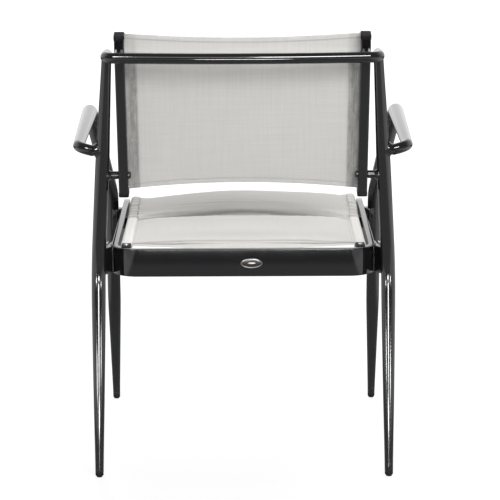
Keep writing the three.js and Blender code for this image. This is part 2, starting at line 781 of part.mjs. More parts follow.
function rearBlockScrew() {
  const headBottom = rearBlockTop + gap;
  const chamfer = screwHeadHeight / 3;
  const head = tube([
    { at: at(railX, rearScrewY, headBottom), radius: screwHeadRadius },
    { at: at(railX, rearScrewY, headBottom + screwHeadHeight - chamfer), radius: screwHeadRadius },
    { at: at(railX, rearScrewY, headBottom + screwHeadHeight), radius: screwHeadRadius - chamfer },
  ], smallSides);
  const shank = rod(
    at(railX, rearScrewY, lugBottom),
    at(railX, rearScrewY, headBottom + chamfer),
    screwRadius,
  );
  return join(head, shank);
}

// Front end block: under the rail's turned-down end, screwed sideways into the hoop
function frontBlock() {
  const body = block(
    at(sleeveInnerX, railNose.y - railHeight / 2, frontBlockTop - frontBlockHeight),
    at(hoopInnerX - gap, railNose.y + railHeight / 2, frontBlockTop),
  );
  const plug = plugAlong(
    at(railX, railNose.y, frontBlockMiddle),
    at(railX, railNose.y, frontBlockTop + railFrontStraight),
  );
  const hole = rod(
    at(sleeveInnerX - overrun, railNose.y, frontBlockMiddle),
    at(hoopInnerX + overrun, railNose.y, frontBlockMiddle),
    screwRadius + boltClearance,
  );
  return cut(join(body, plug), hole);
}

const frontBlockScrew = () => boltAlongX(
  sleeveInnerX - gap, hoopInnerX + frontScrewBite, railNose.y, frontBlockMiddle,
  screwHeadRadius, screwHeadHeight, screwRadius,
);

// Padded seat sling. Shares run from its rear hem to its front hem. Each table holds
// [share, height over the rail's centre line].
const seamShare = 0.735;
const padMiddleShares = [
  [0, hemTop], [0.028, hemTop], [0.06, padRearTop], [0.22, padTop], [0.5, padTop],
  [seamShare, padSeamTop], [0.765, rollShoulder], [0.87, rollTop], [0.94, rollNose], [1, rollFront],
];
const padSideShares = [
  [0, hemTop], [0.028, hemTop], [0.06, padEdgeTop], [0.6, padEdgeTop],
  [seamShare, padSeamTop], [0.765, rollEdgeShoulder], [0.94, rollEdgeTop], [1, rollEdgeFront],
];
const underMiddleShares = [[0, hemUnder], [0.028, hemUnder], [0.07, padUnder], [1, padUnder]];
const underSideShares = [[0, hemUnder], [0.028, hemUnder], [0.07, padEdgeUnder], [1, padEdgeUnder]];
const seamReachShare = 0.2;          // how far from the seam its bow shows
const padRowShares = [
  0, 0.014, 0.028, 0.044, 0.07, 0.14, 0.26, 0.4, 0.54, 0.64, 0.7, 0.725, seamShare, 0.745, 0.765,
  0.79, 0.83, 0.87, 0.9, 0.925, 0.95, 0.975, 1,
];
const padColumnShares = [1, 0.93, 0.8, 0.6, 0.3, 0];

// How full the pad is across its width: all at its middle, nothing at its sides.
const fullnessAt = (share) => 1 - Math.abs(share) ** fullnessPower;
const fullnessPower = 1.6;

function seatSling() {
  const half = sleeveInnerX - gap;
  const line = railStations(padRearSide + padRearBow).map((station) => station.at);
  const curve = new THREE.CurvePath();
  line.slice(1).forEach((point, i) => curve.add(new THREE.LineCurve3(line[i], point)));
  const length = curve.getLength();
  const columns = [...padColumnShares, ...padColumnShares.slice(0, -1).reverse().map((share) => -share)];
  const contour = [
    ...columns.map((share) => new THREE.Vector2(-share, -1)),
    ...columns.map((share) => new THREE.Vector2(share, 1)),
  ];
  const place = (p, share) => {
    const fullness = fullnessAt(p.x);
    const bowedStart = (padRearBow / length) * (1 - fullness);
    const nearSeam = Math.max(0, 1 - Math.abs(share - seamShare) / seamReachShare);
    const seamBow = (padSeamBow / length) * nearSeam * p.x * p.x;
    const shifted = THREE.MathUtils.clamp(share - seamBow, 0, 1);
    const along = THREE.MathUtils.lerp(bowedStart, 1 - padFrontDrop / length, shifted);
    const centre = curve.getPointAt(along);
    const direction = curve.getTangentAt(along);
    const normal = at(0, direction.z, -direction.y).normalize();
    const [middle, side] = p.y > 0 ? [padMiddleShares, padSideShares] : [underMiddleShares, underSideShares];
    const height = THREE.MathUtils.lerp(smoothShares(side, share), smoothShares(middle, share), fullness);
    return centre.setX(half * p.x).addScaledVector(normal, height);
  };
  return loft(padRowShares, contour, [], place, stripLid(columns.length, contour.length - 1));
}

// Back stile: a section with a keyhole channel on its inner face and a chamber behind it. Its own
// axes are x towards the chair's middle and y rearwards.
function stileSection() {
  const lip = Math.asin(channelMouth / 2 / channelRadius);
  const [w, d, r] = [stileWidth / 2, stileDepth / 2, stileCorner];
  const shape = new THREE.Shape();
  shape.moveTo(w, channelN + channelMouth / 2);
  shape.lineTo(w, d - r);
  shape.absarc(w - r, d - r, r, 0, Math.PI / 2, false);
  shape.absarc(r - w, d - r, r, Math.PI / 2, Math.PI, false);
  shape.absarc(r - w, r - d, r, Math.PI, 1.5 * Math.PI, false);
  shape.absarc(w - r, r - d, r, 1.5 * Math.PI, 2 * Math.PI, false);
  shape.lineTo(w, channelN - channelMouth / 2);
  shape.absarc(w - channelDepth, channelN, channelRadius, -lip, lip, true);
  return withoutRepeats(shape.getPoints(3));
}

function withoutRepeats(points) {
  return points.filter((point, i) => point.distanceTo(points[(i + 1) % points.length]) > gap / 10);
}

const chamberSection = (spare = 0) => [
  new THREE.Vector2(stileWidth / 2 - stileWall - spare, chamberFrontN + spare),
  new THREE.Vector2(stileWidth / 2 - stileWall - spare, chamberRearN - spare),
  new THREE.Vector2(stileWall - stileWidth / 2 + spare, chamberRearN - spare),
  new THREE.Vector2(stileWall - stileWidth / 2 + spare, chamberFrontN + spare),
];
const acrossStile = (p, t) => onBack(stileX - p.x, p.y, t);
const stileFoot = lowerBoltHeight - stileBelowBolt;
const stileHead = topRailHeight + stileAboveRail;
const stileFootT = backTFor(stileFoot);
const stileHeadT = backTFor(stileHead);
const tubeFootT = stileFootT + stileCapHeight + gap;
const tubeHeadT = stileHeadT - stileCapHeight - gap;

function stile() {
  const body = loft([tubeFootT, tubeHeadT], stileSection(), [clockwise(chamberSection())], acrossStile);
  const lowerHole = rod(
    at(stileInnerX - overrun, boltJoint.at.y, boltJoint.at.z),
    at(stileOuterX + overrun, boltJoint.at.y, boltJoint.at.z),
    lowerBoltRadius + boltClearance,
  );
  const upperHole = rod(
    onBack(stileX, chamberN, standOffT),
    onBack(stileX, stileDepth / 2 + overrun, standOffT),
    upperBoltRadius + boltClearance,
  );
  return cut(body, lowerHole, upperHole);
}

function stileCap(outerT, faceT, plugT) {
  const outline = roundedRectangle(stileWidth, stileDepth, stileCorner);
  const plate = loft([outerT, faceT], outline, [], acrossStile);
  const plug = loft([(outerT + faceT) / 2, plugT], chamberSection(gap), [], acrossStile);
  return join(plate, plug);
}
const topCap = () => stileCap(stileHeadT, tubeHeadT + gap, tubeHeadT - stilePlugLength);
const footCap = () => stileCap(stileFootT, tubeFootT - gap, tubeFootT + stilePlugLength);

// Lower spacer and bolt
function lowerSpacer() {
  const [y, z] = [boltJoint.at.y, boltJoint.at.z];
  const from = stileOuterX + gap;
  const body = rod(at(from, y, z), at(from + lowerSpacerLength, y, z), lowerSpacerRadius, tubeSides);
  const hole = rod(
    at(from - overrun, y, z),
    at(from + lowerSpacerLength + overrun, y, z),
    lowerBoltRadius + boltClearance,
  );
  return cut(body, hole);
}

const lowerBolt = () => boltAlongX(
  stileInnerX - gap, bossFaceX + lowerBoltBite, boltJoint.at.y, boltJoint.at.z,
  lowerBoltHeadRadius, lowerBoltHeadHeight, lowerBoltRadius,
);

// Upper stand-off and bolt
function standOff() {
  const from = onBack(stileX, stileDepth / 2 + gap, standOffT);
  const to = onBack(stileX, standOffEndN, standOffT);
  const hole = rod(
    onBack(stileX, stileDepth / 2 - overrun, standOffT),
    onBack(stileX, standOffEndN + overrun, standOffT),
    upperBoltRadius + boltClearance,
  );
  return cut(rod(from, to, standOffRadius, tubeSides), hole, tube(topRailStations, tubeSides, alongZ, gap));
}

function upperBolt() {
  const headRearN = chamberRearN - gap;
  const head = loft(
    [standOffT - upperBoltHead / 2, standOffT + upperBoltHead / 2],
    [
      new THREE.Vector2(upperBoltHead / 2, headRearN - upperBoltHeadHeight),
      new THREE.Vector2(upperBoltHead / 2, headRearN),
      new THREE.Vector2(-upperBoltHead / 2, headRearN),
      new THREE.Vector2(-upperBoltHead / 2, headRearN - upperBoltHeadHeight),
    ],
    [],
    acrossStile,
  );
  const shank = rod(
    onBack(stileX, headRearN - upperBoltHeadHeight / 2, standOffT),
    onBack(stileX, standOffEndN - topRailRadius + upperBoltBite, standOffT),
    upperBoltRadius,
  );
  return join(head, shank);
}

// Back sling: a tongue on each side runs through the channel's mouth and ends in a bead round the rod.
const channelX = stileInnerX + channelDepth;
const beadRadius = rodRadius + gap + slingThickness;
const slingFoot = stileFoot + slingAboveFoot;
const slingTop = stileHead - slingUnderHead;
const rodFootT = backTFor(slingFoot);
const rodHeadT = tubeHeadT - gap;

function backSling() {
  const edge = stileInnerX - gap;
  const bandShare = (edge - bandWidth) / edge;
  const columns = [1, bandShare + 0.01, bandShare, 0.75, 0.5, 0.25, 0];
  const xs = [...columns, ...columns.slice(0, -1).reverse().map((share) => -share)];
  const halfThickness = (share) => (Math.abs(share) > bandShare ? bandThickness : slingThickness) / 2;
  const tongue = Math.asin(bandThickness / 2 / beadRadius);
  const bead = (centreX, from, to) => Array.from({ length: beadSides + 1 }, (_, i) => {
    const angle = THREE.MathUtils.lerp(from, to, i / beadSides);
    return new THREE.Vector2(centreX + beadRadius * Math.cos(angle), beadRadius * Math.sin(angle));
  });
  const contour = [
    ...xs.map((share) => new THREE.Vector2(-share * edge, -halfThickness(share))),
    ...bead(channelX, Math.PI + tongue, 3 * Math.PI - tongue),
    ...xs.map((share) => new THREE.Vector2(share * edge, halfThickness(share))),
    ...bead(-channelX, tongue, 2 * Math.PI - tongue),
  ];
  const bore = (x) => circle(beadSides, rodRadius + gap).map((p) => new THREE.Vector2(p.x + x, p.y));
  const rows = [0, 0.1, 0.2, 0.35, 0.5, 0.65, 0.8, 0.9, 1];
  const place = (p, up) => {
    const share = Math.min(1, Math.abs(p.x) / edge);
    const middle = 1 - share * share;
    const lowT = backTFor(slingFoot) + slingFootRise * middle;
    const highT = backTFor(slingTop) - slingTopSag * middle;
    const belly = slingBelly * middle * Math.sin(Math.PI * up);
    return onBack(p.x, channelN + p.y + belly, THREE.MathUtils.lerp(lowT, highT, up));
  };
  const bores = [clockwise(bore(channelX)), clockwise(bore(-channelX))];
  const points = [...contour, ...bores.flat()];
  const [rightBead, rearRow] = [xs.length, xs.length + beadSides + 1];
  const leftBead = rearRow + xs.length;
  const lid = [
    ...stripLid(xs.length, leftBead - 1),
    ...regionLid(
      points,
      countFrom(rightBead - 1, beadSides + 3),
      countFrom(contour.length, beadSides),
    ),
    ...regionLid(
      points,
      [...countFrom(leftBead - 1, beadSides + 2), 0],
      countFrom(contour.length + beadSides, beadSides),
    ),
  ];
  const notch = loft(
    [rodHeadT, stileHeadT + overrun],
    roundedRectangle(2 * (channelX - edge) + overrun, stileDepth, gap, 1),
    [],
    (p, t) => onBack(channelX + overrun / 2 + p.x, channelN + p.y, t),
  );
  return cut(loft(rows, contour, bores, place, lid), notch, mirrored(notch));
}

const splineRod = () =>
  rod(onBack(channelX, channelN, rodFootT), onBack(channelX, channelN, rodHeadT), rodRadius, beadSides);

// Badge: an oval plate with a raised rim and a bare field
function badge() {
  const rimShares = [[1, 0], [1, 0.75], [0.95, 1], [0.88, 1]];
  const rings = rimShares.map(([size, rise]) => ({ size, rise: rise * badgeThickness }));
  rings.push({ size: 0.84, rise: badgeThickness - badgeField });
  const place = (p, { size, rise }) => at(
    -badgeOffset - (badgeWidth / 2) * size * p.x,
    hoopRear + gap + rise,
    seatTop - badgeDrop + (badgeHeight / 2) * size * p.y,
  );
  return loft(rings, circle(2 * smallSides), [], place);
}

// The chair

const chair = new THREE.Group();

function add(name, geometry, material) {
  const mesh = new THREE.Mesh(geometry, material);
  mesh.name = name;
  chair.add(mesh);
}

function addPair(name, geometry, material) {
  add(`${name}_left`, geometry, material);
  add(`${name}_right`, mirrored(geometry), material);
}

addPair('rear_upright', rearUpright(), paint);
addPair('front_leg_arm', frontLegArm(), paint);
add('top_rail', topRail(), paint);
addPair('rear_foot_glide', glide(uprightLine), nylon);
addPair('front_foot_glide', glide(frontLine), nylon);
add('seat_hoop', seatHoop(), paint);
add('seat_stretcher', stretcher(), paint);
addPair('rear_seat_bracket', rearBracket(), paint);
addPair('rear_seat_bolt', rearSeatBolt(), steel);
addPair('front_seat_bracket', frontBracket(), paint);
addPair('front_seat_bolt', frontSeatBolt(), steel);
addPair('seat_rail', seatRail(), paint);
addPair('rear_end_block', rearBlock(), nylon);
addPair('rear_block_lug', rearLug(), paint);
addPair('rear_block_screw', rearBlockScrew(), steel);
addPair('front_end_block', frontBlock(), nylon);
addPair('front_block_screw', frontBlockScrew(), steel);
addPair('seat_sleeve', seatSleeve(), seatCloth);
add('seat_sling', seatSling(), seatCloth);
addPair('back_stile', stile(), paint);
addPair('stile_top_cap', topCap(), nylon);
addPair('stile_foot_cap', footCap(), nylon);
addPair('lower_spacer', lowerSpacer(), paint);
addPair('lower_bolt', lowerBolt(), steel);
addPair('upper_standoff', standOff(), paint);
addPair('upper_bolt', upperBolt(), steel);
add('back_sling', backSling(), backCloth);
addPair('spline_rod', splineRod(), rodPlastic);
add('badge', badge(), badgeMetal);

// The origin is the middle of the footprint, on the floor.
const bounds = new THREE.Box3().setFromObject(chair);
const middle = bounds.getCenter(new THREE.Vector3());
chair.position.set(-middle.x, -middle.y, -bounds.min.z);

export default chair;
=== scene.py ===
"""Looks of a sling patio chair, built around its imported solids.

The sizes are millimetres of the chair's drawing. Each class builds one sub-assembly, gives its
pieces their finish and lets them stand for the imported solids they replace.
"""

import logging
import math
from dataclasses import dataclass, field
from enum import Enum
from typing import Any, Callable, Iterable, Mapping, Sequence

import bmesh
import bpy
import numpy as np
from mathutils import Euler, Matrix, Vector
from mathutils.bvhtree import BVHTree


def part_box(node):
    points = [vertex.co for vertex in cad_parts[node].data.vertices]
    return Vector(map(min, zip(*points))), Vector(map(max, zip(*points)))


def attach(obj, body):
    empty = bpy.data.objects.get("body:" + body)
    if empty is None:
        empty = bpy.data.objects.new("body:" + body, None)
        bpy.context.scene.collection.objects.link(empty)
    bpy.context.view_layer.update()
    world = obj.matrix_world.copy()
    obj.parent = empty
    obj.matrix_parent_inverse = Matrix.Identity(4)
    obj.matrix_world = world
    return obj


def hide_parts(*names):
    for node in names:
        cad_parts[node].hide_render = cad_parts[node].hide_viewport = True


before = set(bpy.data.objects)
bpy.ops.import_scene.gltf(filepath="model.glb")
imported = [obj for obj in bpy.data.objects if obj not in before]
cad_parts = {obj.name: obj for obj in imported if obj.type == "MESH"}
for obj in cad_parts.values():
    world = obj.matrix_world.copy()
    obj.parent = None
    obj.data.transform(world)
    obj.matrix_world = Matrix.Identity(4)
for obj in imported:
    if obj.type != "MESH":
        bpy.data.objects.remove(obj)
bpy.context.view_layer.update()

log = logging.getLogger("chair")

MM = 0.001
DATUM = np.array((0.0, -0.98776, 0.0))  # the drawing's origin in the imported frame
LEAN = math.radians(13.5)  # of the back, shared by uprights and stiles
SIDES = ("left", "right")

Profile = Callable[[float, float], np.ndarray]
Pair = tuple[float, float]
Pairs = tuple[Pair, ...]


class Slot(Enum):
    """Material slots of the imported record."""

    PAINT = "frame_paint"
    NYLON = "black_nylon"
    STEEL = "bolt_steel"
    SEAT = "seat_textile"
    BACK = "back_textile"
    ROD = "rod_plastic"
    BADGE = "badge_metal"


def point(x: float, y: float, z: float) -> np.ndarray:
    """A point of the drawing."""
    return np.array((x, y, z), float)


def lerp(a: Any, b: Any, share: float) -> Any:
    """The value at a share of the way from a to b."""
    return a + (b - a) * share


def smooth(value: Any, low: float, high: float) -> Any:
    """0 below low, 1 above high, and a smooth step between them."""
    share = np.clip((value - low) / (high - low), 0.0, 1.0)
    return share * share * (3 - 2 * share)


def unit(vector: np.ndarray) -> np.ndarray:
    """The vector at length 1."""
    return vector / np.linalg.norm(vector)


def unit_rows(vectors: np.ndarray) -> np.ndarray:
    """Each row at length 1."""
    return vectors / np.linalg.norm(vectors, axis=1)[:, None]


def bell(value: Any, width: float) -> Any:
    """1 where the value is zero, and less on both sides of it."""
    return np.exp(-((value / width) ** 2))


def way_along(path: np.ndarray) -> np.ndarray:
    """How far along a path each of its points is."""
    return np.concatenate(([0.0], np.cumsum(np.linalg.norm(np.diff(path, axis=0), axis=1))))


def points_at(path: np.ndarray, distances: np.ndarray) -> np.ndarray:
    """The points at distances along a path."""
    way = way_along(path)
    return np.stack([np.interp(distances, way, path[:, k]) for k in range(3)], axis=1)


def angles_round(count: int) -> np.ndarray:
    """Even angles round a circle."""
    return np.arange(count) * 2 * math.pi / count


def ring_points(reach: Any, angle: np.ndarray, side: np.ndarray, up: np.ndarray) -> np.ndarray:
    """Points round a centre, seen from it, in the plane of two directions."""
    return np.outer(reach * np.cos(angle), side) + np.outer(reach * np.sin(angle), up)


# Shapes


@dataclass
class Shape:
    """Points of the drawing and the faces between them."""

    points: np.ndarray
    faces: list[tuple[int, ...]]

    def __add__(self, other: "Shape") -> "Shape":
        """Both shapes as one."""
        shift = len(self.points)
        moved = [tuple(i + shift for i in face) for face in other.faces]
        return Shape(np.vstack((self.points, other.points)), self.faces + moved)

    def mirrored(self) -> "Shape":
        """The shape on the chair's other side."""
        return Shape(self.points * (-1, 1, 1), [face[::-1] for face in self.faces])

    def piece(self, name: str, sharp: float = 38.0) -> bpy.types.Object:
        """Makes the shape a shown object.

        Args:
            name: The object's name.
            sharp: Edges that turn by more degrees than this are shaded as edges.

        Returns:
            The object, with its faces turned outwards.
        """
        mesh = bpy.data.meshes.new(name)
        mesh.from_pydata(((self.points + DATUM) * MM).tolist(), [], self.faces)
        solid = bmesh.new()
        solid.from_mesh(mesh)
        bmesh.ops.recalc_face_normals(solid, faces=solid.faces)
        solid.to_mesh(mesh)
        solid.free()
        mesh.shade_smooth()
        mesh.set_sharp_from_angle(angle=math.radians(sharp))
        made = bpy.data.objects.new(name, mesh)
        bpy.context.scene.collection.objects.link(made)
        return made


def skin(rings: np.ndarray, capped: bool = True, looped: bool = False) -> Shape:
    """Faces between rings of points.

    Args:
        rings: Array of rings by points by 3.
        capped: Whether the first and last ring are closed by a face.
        looped: Whether the last ring joins the first.

    Returns:
        The closed shape.
    """
    count, around = rings.shape[:2]
    faces = []
    for i in range(count if looped else count - 1):
        here, there = i * around, ((i + 1) % count) * around
        for k in range(around):
            following = (k + 1) % around
            faces.append((here + k, here + following, there + following, there + k))
    if capped and not looped:
        faces.append(tuple(reversed(range(around))))
        faces.append(tuple(range((count - 1) * around, count * around)))
    return Shape(rings.reshape(-1, 3), faces)


def shell(outer: np.ndarray, inner: np.ndarray) -> Shape:
    """A hollow body between outer and inner rings, open at both ends of its bore."""
    made = skin(outer, capped=False) + skin(inner, capped=False)
    around = outer.shape[1]
    size = outer.shape[0] * around
    for first in (0, size - around):
        for k in range(around):
            following = (k + 1) % around
            made.faces.append((first + k, first + following, size + first + following, size + first + k))
    return made


@dataclass(frozen=True)
class Corner:
    """A corner of a centre line, rounded by its bend radius."""

    at: np.ndarray
    radius: float = 1.0
    bend: float = 0.0


@dataclass
class Line:
    """A centre line: its points and the radius of what runs along it."""

    at: np.ndarray
    radius: np.ndarray

    @classmethod
    def through(
        cls, corners: Sequence[Corner], step: float = 4.0, spacing: float = 14.0, ease: float = 0.0
    ) -> "Line":
        """A line through corners.

        Args:
            corners: The corners, in order.
            step: Degrees of a bend between two points.
            spacing: Longest straight stretch between two points.
            ease: Length over which a change of radius is evened out.

        Returns:
            The line.
        """
        points: list[np.ndarray] = []
        radii: list[float] = []
        for i, corner in enumerate(corners):
            if not corner.bend:
                points.append(corner.at)
                radii.append(corner.radius)
                continue
            back = unit(corners[i - 1].at - corner.at)
            onward = unit(corners[i + 1].at - corner.at)
            turn = math.pi - math.acos(float(np.clip(back @ onward, -1, 1)))
            reach = corner.bend * math.tan(turn / 2)
            handle = 4 / 3 * math.tan(turn / 4) * corner.bend
            start, end = corner.at + back * reach, corner.at + onward * reach
            first, second = start - back * handle, end - onward * handle
            steps = max(3, math.ceil(math.degrees(turn) / step))
            for share in np.linspace(0, 1, steps + 1):
                rest = 1 - share
                points.append(
                    rest**3 * start
                    + 3 * rest**2 * share * first
                    + 3 * rest * share**2 * second
                    + share**3 * end
                )
                radii.append(corner.radius)
        at, radius = [points[0]], [radii[0]]
        for i in range(1, len(points)):
            parts = max(1, math.ceil(float(np.linalg.norm(points[i] - points[i - 1])) / spacing))
            for k in range(1, parts + 1):
                at.append(lerp(points[i - 1], points[i], k / parts))
                radius.append(lerp(radii[i - 1], radii[i], k / parts))
        line = cls(np.array(at), np.array(radius, float))
        return line.eased(ease) if ease else line

    @property
    def way(self) -> np.ndarray:
        """How far along the line each point is."""
        return way_along(self.at)

    def eased(self, width: float) -> "Line":
        """The line with its radius evened out over a width."""
        way = self.way
        weight = np.exp(-0.5 * ((way[:, None] - way[None, :]) / width) ** 2)
        weight *= np.gradient(way)[None, :]
        return Line(self.at, (weight @ self.radius) / weight.sum(axis=1))

    def frames(self, first_side: np.ndarray) -> tuple[np.ndarray, np.ndarray, np.ndarray]:
        """Direction and two cross directions at each point, carried along without twist."""
        ahead = unit_rows(np.diff(self.at, axis=0))
        direction = unit_rows(np.vstack((ahead[:1], ahead[:-1] + ahead[1:], ahead[-1:])))
        side = np.zeros_like(direction)
        carried = first_side.astype(float)
        for i, along in enumerate(direction):
            carried = unit(carried - along * (along @ carried))
            side[i] = carried
        return direction, side, np.cross(direction, side)

    def at_height(self, height: float) -> tuple[np.ndarray, float]:
        """Centre and radius of a rising line at a height."""
        i = max(1, int(np.argmax(self.at[:, 2] >= height)))
        share = (height - self.at[i - 1, 2]) / (self.at[i, 2] - self.at[i - 1, 2])
        return lerp(self.at[i - 1], self.at[i], share), lerp(self.radius[i - 1], self.radius[i], share)


ALONG_X = point(1, 0, 0)
ALONG_Z = point(0, 0, 1)
THINNEST = 0.02  # radius to which a turned body narrows at its axis
SHARPEST = 0.15  # share of a section's corner that stays however far the section is drawn in


def round_profile(sides: int = 40) -> Profile:
    """A round section."""
    angle = angles_round(sides)
    circle = np.stack((np.cos(angle), np.sin(angle)), axis=1)
    return lambda radius, inset: circle * (radius - inset)


def bar_profile(width: float, height: float, corner: float, steps: int = 6) -> Profile:
    """A rounded rectangular section."""

    def profile(_radius: float, inset: float) -> np.ndarray:
        """The section, drawn in by the inset."""
        keep = max(corner - inset, corner * SHARPEST)
        half = np.array((width / 2 - inset - keep, height / 2 - inset - keep))
        points = []
        for quarter, (right, up) in enumerate(((1, 1), (-1, 1), (-1, -1), (1, -1))):
            for i in range(steps + 1):
                angle = (quarter + i / steps) * math.pi / 2
                points.append(half * (right, up) + keep * np.array((math.cos(angle), math.sin(angle))))
        return np.array(points)

    return profile


def sweep(line: Line, profile: Profile, first_side: np.ndarray = ALONG_X, rounding: float = 0.0) -> Shape:
    """A body with one section along a line.

    Args:
        line: The centre line.
        profile: The section.
        first_side: Direction of the section's first axis at the line's start.
        rounding: Radius of the edges round its two ends.

    Returns:
        The closed shape.
    """
    direction, side, up = line.frames(first_side)
    way = line.way
    stops = [(i, way[i], 0.0) for i in range(len(way))]
    if rounding:
        inside = [s for s in stops if rounding < s[1] < way[-1] - rounding]
        turn = [k * math.pi / 8 for k in range(5)]
        head = [(0, rounding * (1 - math.sin(a)), rounding * (1 - math.cos(a))) for a in reversed(turn)]
        tail = [(len(way) - 1, way[-1] - d, inset) for _, d, inset in reversed(head)]
        stops = head + inside + tail
    rings = []
    for i, distance, inset in stops:
        centre = line.at[i] + direction[i] * (distance - way[i])
        section = profile(float(line.radius[i]), inset)
        rings.append(centre + section[:, :1] * side[i] + section[:, 1:] * up[i])
    return skin(np.array(rings))


def lathe(
    start: np.ndarray,
    axis: np.ndarray,
    outline: Sequence[tuple[float, float]],
    sides: int = 40,
    hexagon: Iterable[int] = (),
) -> Shape:
    """A turned body.

    Args:
        start: A point on its axis.
        axis: The axis's direction.
        outline: Pairs of distance along the axis and radius.
        sides: Points round it.
        hexagon: Numbers of the outline's pairs whose ring is a hexagon.

    Returns:
        The closed shape.
    """
    axis = unit(axis)
    side = unit(np.cross(axis, ALONG_X if abs(axis[0]) < 0.7 else ALONG_Z))
    up = np.cross(axis, side)
    angle = angles_round(sides)
    flats = math.cos(math.pi / 6) / np.cos(np.mod(angle, math.pi / 3) - math.pi / 6)
    rings = []
    for i, (distance, radius) in enumerate(outline):
        reach = np.maximum(radius, THINNEST) * (flats if i in hexagon else 1.0)
        rings.append(start + axis * distance + ring_points(reach, angle, side, up))
    return skin(np.array(rings))


def rounded_box(low: np.ndarray, high: np.ndarray, radius: float, steps: int = 4) -> Shape:
    """A box with rounded edges between two corners."""
    body = bmesh.new()
    bmesh.ops.create_cube(body, size=1)
    size, centre = high - low, (low + high) / 2
    for vert in body.verts:
        vert.co = Vector(centre + np.array(vert.co) * size)
    bmesh.ops.bevel(
        body,
        geom=body.edges[:],
        offset=radius,
        segments=steps,
        profile=0.5,
        affect="EDGES",
        clamp_overlap=True,
    )
    points = np.array([vert.co for vert in body.verts])
    faces = [tuple(vert.index for vert in face.verts) for face in body.faces]
    body.free()
    return Shape(points, faces)


def plate(outline: np.ndarray, low: float, high: float, rounding: float) -> Shape:
    """A flat plate between two heights, its plan going round anticlockwise, with rounded rims."""
    ahead = unit_rows(np.roll(outline, -1, axis=0) - outline)
    inward = np.stack((-ahead[:, 1], ahead[:, 0]), axis=1)
    before = np.roll(inward, 1, axis=0)
    corner = (inward + before) / (1 + (inward * before).sum(axis=1))[:, None]
    rings = []
    for height, turns in ((low, (0.0, 0.5, 1.0)), (high, (1.0, 0.5, 0.0))):
        for share in turns:
            angle = share * math.pi / 2
            inset, rise = rounding * (1 - math.sin(angle)), rounding * (1 - math.cos(angle))
            level = height + (rise if height == low else -rise)
            plan = outline + corner * inset
            rings.append(np.column_stack((plan, np.full(len(plan), level))))
    return skin(np.array(rings))


def weld(path: np.ndarray, radius: float, looped: bool = False, pitch: float = 1.9) -> Shape:
    """A weld bead along a path, rippled where the torch paused.

    Args:
        path: The points that it follows.
        radius: Its radius.
        looped: Whether the path's end joins its start; if not, both ends taper.
        pitch: Distance between two ripples.

    Returns:
        The closed shape.
    """
    spacing, end_share = 0.45, 0.35
    count = max(8, int(way_along(path)[-1] / spacing))
    closed = np.vstack((path, path[:1])) if looped else path
    length = way_along(closed)[-1]
    spots = np.linspace(0, length, count, endpoint=not looped)
    at = points_at(closed, spots)
    ripple = 1 + 0.2 * np.abs(np.sin(math.pi * spots / pitch)) + 0.08 * np.sin(spots * 0.9)
    ahead = np.roll(at, -1, axis=0) - np.roll(at, 1, axis=0)
    if not looped:
        ripple *= lerp(end_share, 1, np.minimum(1, np.minimum(spots, length - spots) / (2 * radius)))
        ahead[0], ahead[-1] = at[1] - at[0], at[-1] - at[-2]
    ahead = unit_rows(ahead)
    side = unit_rows(np.cross(ahead, np.where(np.abs(ahead[:, 2:]) < 0.8, ALONG_Z, ALONG_X)))
    up = np.cross(ahead, side)
    angle = angles_round(12)
    reach = (radius * ripple)[:, None, None]
    ring = np.cos(angle)[None, :, None] * side[:, None, :] + np.sin(angle)[None, :, None] * up[:, None, :]
    return skin(at[:, None, :] + reach * ring, looped=looped)


def stitches(path: np.ndarray, length: float = 3.0, space: float = 1.3, thick: float = 0.36) -> Shape:
    """A row of stitches along a path.

    Args:
        path: The points that it follows.
        length: Length of a stitch.
        space: Gap between two stitches.
        thick: Radius of the thread.

    Returns:
        The closed shape.
    """
    pitch, whole = length + space, way_along(path)[-1]
    count = int(whole / pitch)
    angle = angles_round(6)
    points, faces = [], []
    shares, widths = np.array((0.0, 0.16, 0.5, 0.84, 1.0)), (0.45, 0.95, 1.1, 0.95, 0.45)
    for first in (whole - count * pitch + space) / 2 + np.arange(count) * pitch:
        centres = points_at(path, first + shares * length)
        ahead = unit(centres[-1] - centres[0])
        side = unit(np.cross(ahead, ALONG_Z if abs(ahead[2]) < 0.8 else ALONG_X))
        up = np.cross(ahead, side)
        rings = [
            centre + ring_points(thick * wide, angle, side, up) for centre, wide in zip(centres, widths)
        ]
        shift = len(points) * len(angle)
        row = skin(np.array(rings))
        points.extend(rings)
        faces.extend(tuple(i + shift for i in face) for face in row.faces)
    return Shape(np.vstack(points), faces)


# Shader graphs


class Signal:
    """A value that varies over a surface. Arithmetic on it adds Math nodes to its graph."""

    def __init__(self, graph: "Graph", socket: bpy.types.NodeSocket) -> None:
        """Wraps an output socket of a graph."""
        self.graph = graph
        self.socket = socket

    def _math(self, operation: str, *values: Any) -> "Signal":
        """A Math node over values."""
        return self.graph.node("Math", {"operation": operation}, dict(enumerate(values)))

    def __add__(self, other: Any) -> "Signal":
        """Sum."""
        return self._math("ADD", self, other)

    __radd__ = __add__

    def __sub__(self, other: Any) -> "Signal":
        """Difference."""
        return self._math("SUBTRACT", self, other)

    def __rsub__(self, other: Any) -> "Signal":
        """Difference from a number."""
        return self._math("SUBTRACT", other, self)

    def __mul__(self, other: Any) -> "Signal":
        """Product."""
        return self._math("MULTIPLY", self, other)

    __rmul__ = __mul__

    def sine(self) -> "Signal":
        """Its sine."""
        return self._math("SINE", self)

    def size(self) -> "Signal":
        """Its absolute value."""
        return self._math("ABSOLUTE", self)

    def most(self, other: Any) -> "Signal":
        """The greater of both."""
        return self._math("MAXIMUM", self, other)

    def rise(self, low: float, high: float) -> "Signal":
        """0 at low and 1 at high, smooth between them."""
        settings = {"interpolation_type": "SMOOTHSTEP"}
        inputs = {"Value": self, "From Min": low, "From Max": high}
        return self.graph.node("MapRange", settings, inputs)


